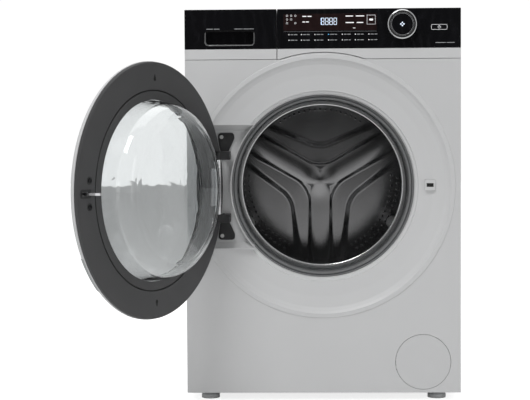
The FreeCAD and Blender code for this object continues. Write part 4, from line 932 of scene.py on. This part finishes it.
class WASHER_OT_strip(WasherOperator, bpy.types.Operator):
    """Black control strip with its carriers"""
    bl_idname = "washer.strip"
    bl_label = "Control strip"

    def build(self):
        carried("control_lens", "piano_black", 0.5)
        carried("drawer_lens", "piano_black", 0.5)
        carried("control_fascia", "white_moulding", 0.5)
        carried("drawer_front", "white_moulding", 0.5)
        carried("drawer_handle_trim", "chrome_plate", 0.5)
        carried("knob_ring", "chrome_plate", 0.5)
        carried("start_button", "piano_black", 1.0)
        carried("power_button", "piano_black", 0.6)
        painted("control_board", "board_green")
        self.display()
        self.programmes()
        self.buttons()

    def display(self):
        figures, left, low = [], -9.0 * MM, TOP - 34.5 * MM
        tall = sizes().digit
        for figure in "18888":
            figures += digit(figure, left, low, tall)
            left += tall * (0.42 if figure == "1" else 0.60)
        colon_x = -9.0 * MM + tall * (0.42 + 1.2) - 1.0 * MM
        figures += [mark(colon_x, low + tall * share, colon_x + 1.1 * MM, low + tall * share + 1.1 * MM)
                    for share in (0.28, 0.66)]
        piece(joined(figures), "display_digits", "cabinet", "lit_mark")
        icons = []
        for column, x in enumerate((-78, -69, -60)):
            for row, drop in enumerate((14.5, 22.5, 30.5)):
                if (column + row) % 4 != 3:
                    icons.append(hoop((x * MM + 2 * MM, TOP - drop * MM), 2.0 * MM, 0.5 * MM))
        for drop, wide in ((15, 20), (27, 14)):
            icons += [label(x, x + wide * 0.45, drop, 2) for x in (-43, -43 + wide * 0.55)]
        for left, right, drop, tall in (
                (50, 66, 15, 2), (72, 90, 15, 2), (50, 68, 29, 2), (74, 88, 29, 2), (96, 114, 33.5, 0.5),
                (96, 114, 14, 0.5), (96, 96.5, 14, 20), (113.5, 114, 14, 20), (101, 109, 22, 4),
                (66, 71, 41, 1.2)):
            icons.append(label(left, right, drop, tall))
        piece(joined(icons), "display_icons", "cabinet", "lit_white")
        window = slab(box_outline(-84 * MM, TOP - 46.5 * MM, 117 * MM, TOP - 10.5 * MM, 2 * MM),
                      FRONT - 0.03 * MM, FRONT + 0.5 * MM)
        piece(window, "display_window", "cabinet", "display_tint")
        piece(label(-84, 117, 48.4, 0.3), "display_divider", "cabinet", "mark_grey")

    def programmes(self):
        dots, dashes = [], []
        for row, drop in enumerate((55, 67)):
            for column, x in enumerate((-72, -45, -16, 13.5, 43, 71, 100)):
                dots.append(label(x - 1, x + 1, drop - 1, 2))
                first = 9 + (column * 5 + row * 3) % 4
                dashes += [label(x + 3.5, x + first, drop - 0.8, 1.6),
                           label(x + first + 1.4, x + 18, drop - 0.8, 1.6)]
        piece(dots.pop(3), "programme_chosen", "cabinet", "lit_blue")
        piece(joined(dots), "programme_lamps", "cabinet", "lit_white")
        piece(joined(dashes), "programme_marks", "cabinet", "mark_grey")
        x = POWER.x / MM
        foot_marks = [label(x - 8, x + 14, 73.6, 1.4), label(x + 16, x + 33, 73.6, 1.4)]
        piece(joined(foot_marks), "strip_marks", "cabinet", "mark_grey")
        labels = [label(left, right, 41.2, 1.4)
                  for left, right in ((-250, -236), (-234, -222), (-190, -172), (-170, -148))]
        piece(joined(labels), "drawer_marks", "drawer", "mark_grey")

    def buttons(self):
        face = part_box("start_button")[0].y
        proud = FRONT - face
        petals = []
        for turn in range(4):
            angle = math.radians(90 * turn)
            x, z = KNOB.x + 3.2 * MM * math.cos(angle), KNOB.z + 3.2 * MM * math.sin(angle)
            reach, soft = 1.9 * MM, 0.4 * MM
            petal = fillet([(x + reach, z, soft), (x, z + reach, soft), (x - reach, z, soft),
                            (x, z - reach, soft)], 3)
            petals.append(slab(petal, face - sizes().mark, face))
        piece(joined(petals), "start_icon", "start_button", "lit_mark")
        ring = hoop((KNOB.x, KNOB.z), 23.2 * MM, 0.5 * MM, proud, 72)
        piece(ring, "start_button_rim", "start_button", "mark_grey")
        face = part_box("power_button")[0].y
        proud = FRONT - face
        half_wide, half_tall, line = 17.2 * MM, 5.6 * MM, 0.55 * MM

        def pill(inset, corner, near, far):
            wide, tall = half_wide - inset, half_tall - inset
            return slab(box_outline(POWER.x - wide, POWER.z - tall, POWER.x + wide, POWER.z + tall, corner),
                        near, far)
        outline = pill(0.0, 2.6 * MM, FRONT - proud - sizes().mark, FRONT - proud)
        cut_out(outline, pill(line, 2.1 * MM, FRONT - proud - 3 * MM, FRONT + 3 * MM))
        icon = hoop((POWER.x, POWER.z), 3.0 * MM, 0.6 * MM, proud)
        stem = mark(POWER.x - 0.3 * MM, POWER.z + 0.6 * MM, POWER.x + 0.3 * MM, POWER.z + 3.6 * MM, proud)
        piece(joined([outline, icon, stem]), "power_icon", "power_button", "lit_white")


class WASHER_OT_insides(WasherOperator, bpy.types.Operator):
    """Tub, springs, dampers, pump, tray and the rest behind the panels"""
    bl_idname = "washer.insides"
    bl_label = "Insides"

    def build(self):
        for finish, nodes in {
                "tray_plastic": "drawer_tray", "siphon_blue": "siphon_cap", "cast_weight": "counterweights",
                "grey_moulding": "dispenser_housing inlet_valve tub_front tub_rear filter_frame drain_pump",
                "black_stipple": "drain_outlet cable_gland damper_cylinders pump_impeller",
                "bright_steel": "damper_rods drum_bearings", "zinc_bolt": "heater foot_lock_nuts",
                "motor_lacquer": "stator", "white_satin": "pump_filter"}.items():
            for node in nodes.split():
                carried(node, finish)
        low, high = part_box("suspension_springs")
        y = (low.y + high.y) / 2
        side = high.x - 13 * MM
        coils = [coil(1.6 * MM, 11 * MM, low.z + 2 * MM, high.z - 2 * MM, 34, (x, y)) for x in (-side, side)]
        stretched(joined(coils), "suspension_springs_looks", "spring_wire", "suspension_springs",
                  "cabinet")


class WASHER_OT_bottom(WasherOperator, bpy.types.Operator):
    """Filter flap and feet"""
    bl_idname = "washer.bottom"
    bl_label = "Flap and feet"

    def build(self):
        carried("filter_flap", "white_moulding", 0.4)
        for node in ("foot_front_left", "foot_rear_left", "foot_front_right", "foot_rear_right"):
            carried(node, "white_satin", 0.8)


def area_light(name, place, aim, width, height, power):
    """A soft box that points at a place."""
    lamp = bpy.data.lights.new(name, "AREA")
    lamp.shape = "RECTANGLE"
    lamp.size = width
    lamp.size_y = height
    lamp.energy = power
    item = bpy.data.objects.new(name, lamp)
    bpy.context.scene.collection.objects.link(item)
    item.location = place
    item.rotation_euler = (Vector(aim) - Vector(place)).to_track_quat("-Z", "Y").to_euler()
    return item


class WASHER_OT_stage(WasherOperator, bpy.types.Operator):
    """Pale floor, studio light and camera"""
    bl_idname = "washer.stage"
    bl_label = "Stage"

    def build(self):
        scene = bpy.context.scene
        deselect()
        bpy.ops.mesh.primitive_plane_add(size=30.0, location=(0.0, 0.0, 0.0))
        floor = bpy.context.object
        floor.name = "floor"
        floor.data.materials.append(material("studio_floor"))
        tree = material("studio_floor").node_tree
        rays = add(tree, "LightPath")
        glow = reckoned(tree, "MULTIPLY", rays.outputs["Is Camera Ray"], 0.80)
        tree.links.new(glow, tree.nodes["Principled BSDF"].inputs["Emission Strength"])

        world = bpy.data.worlds.new("studio")
        world.use_nodes = True
        tree = world.node_tree
        rays = add(tree, "LightPath")
        seen = reckoned(tree, "MAXIMUM", rays.outputs["Is Camera Ray"], rays.outputs["Is Transmission Ray"])
        way = add(tree, "TexCoord")
        split = add(tree, "SeparateXYZ", Vector=way.outputs["Generated"])
        room = add(tree, "MapRange", Value=split.outputs["Y"], From_Min=-0.992, From_Max=-0.94, To_Min=0.03,
                   To_Max=0.44)
        bright = add(tree, "Mix", data_type="FLOAT")
        for index, value in ((0, seen), (2, room.outputs[0]), (3, 1.02)):
            feed(tree, value, bright.inputs[index])
        background = tree.nodes["Background"]
        background.inputs["Color"].default_value = WHITE
        tree.links.new(bright.outputs[0], background.inputs["Strength"])
        scene.world = world
        scene.view_settings.view_transform = "Standard"

        aim = (0.0, FRONT, AXIS_Z)
        area_light("key_box", (-0.9, -2.2, 3.4), aim, 1.2, 1.2, 44.0)
        area_light("fill_box", (2.4, -2.4, 1.0), aim, 0.9, 2.0, 4.0)
        area_light("low_box", (-1.6, -2.6, 0.5), aim, 0.9, 0.9, 2.0)
        area_light("top_box", (0.0, 0.2, 3.0), (0.0, 0.0, 0.4), 2.4, 2.4, 16.0)

        camera_data = bpy.data.cameras.new("view")
        camera_data.sensor_width = 36.0
        camera_data.lens = 94.15
        camera = bpy.data.objects.new("view", camera_data)
        scene.collection.objects.link(camera)
        camera.matrix_world = camera_place(Vector((-0.048, FRONT - 3.0, 0.569)), 0.0259, 0.0434, -0.006)
        scene.camera = camera


def camera_place(place, left, down, roll):
    """A camera's matrix from its place and three small angles."""
    right = Vector((math.cos(left), math.sin(left), 0.0))
    forward = Vector((-math.sin(left), math.cos(left), 0.0))
    up = Vector((0.0, 0.0, 1.0))
    ahead = forward * math.cos(down) - up * math.sin(down)
    above = up * math.cos(down) + forward * math.sin(down)
    across = right * math.cos(roll) + above * math.sin(roll)
    above = above * math.cos(roll) - right * math.sin(roll)
    turn = Matrix((across, above, -ahead)).transposed()
    return Matrix.Translation(place) @ turn.to_4x4()


# ---- the add-on ----

OPERATORS = (
    WASHER_OT_cabinet, WASHER_OT_surround, WASHER_OT_hinge, WASHER_OT_gasket, WASHER_OT_drum,
    WASHER_OT_door, WASHER_OT_strip, WASHER_OT_insides, WASHER_OT_bottom, WASHER_OT_stage,
)


class WASHER_PT_panel(bpy.types.Panel):
    """Lists the steps that build the machine."""
    bl_idname = "WASHER_PT_panel"
    bl_label = "Washing machine"
    bl_space_type = "VIEW_3D"
    bl_region_type = "UI"
    bl_category = "Washer"

    def draw(self, context):
        for settings in (context.scene.washer_sizes, context.scene.washer_colours):
            for key in settings.__annotations__:
                self.layout.prop(settings, key)
        for operator in OPERATORS:
            self.layout.operator(operator.bl_idname)


CLASSES = (WasherSizes, WasherColours, *OPERATORS, WASHER_PT_panel)


def register():
    for item in CLASSES:
        bpy.utils.register_class(item)
    bpy.types.Scene.washer_sizes = bpy.props.PointerProperty(type=WasherSizes)
    bpy.types.Scene.washer_colours = bpy.props.PointerProperty(type=WasherColours)


def unregister():
    del bpy.types.Scene.washer_colours
    del bpy.types.Scene.washer_sizes
    for item in reversed(CLASSES):
        bpy.utils.unregister_class(item)


def main():
    register()
    for operator in OPERATORS:
        group, name = operator.bl_idname.split(".")
        getattr(getattr(bpy.ops, group), name)()


if __name__ == "__main__":
    main()
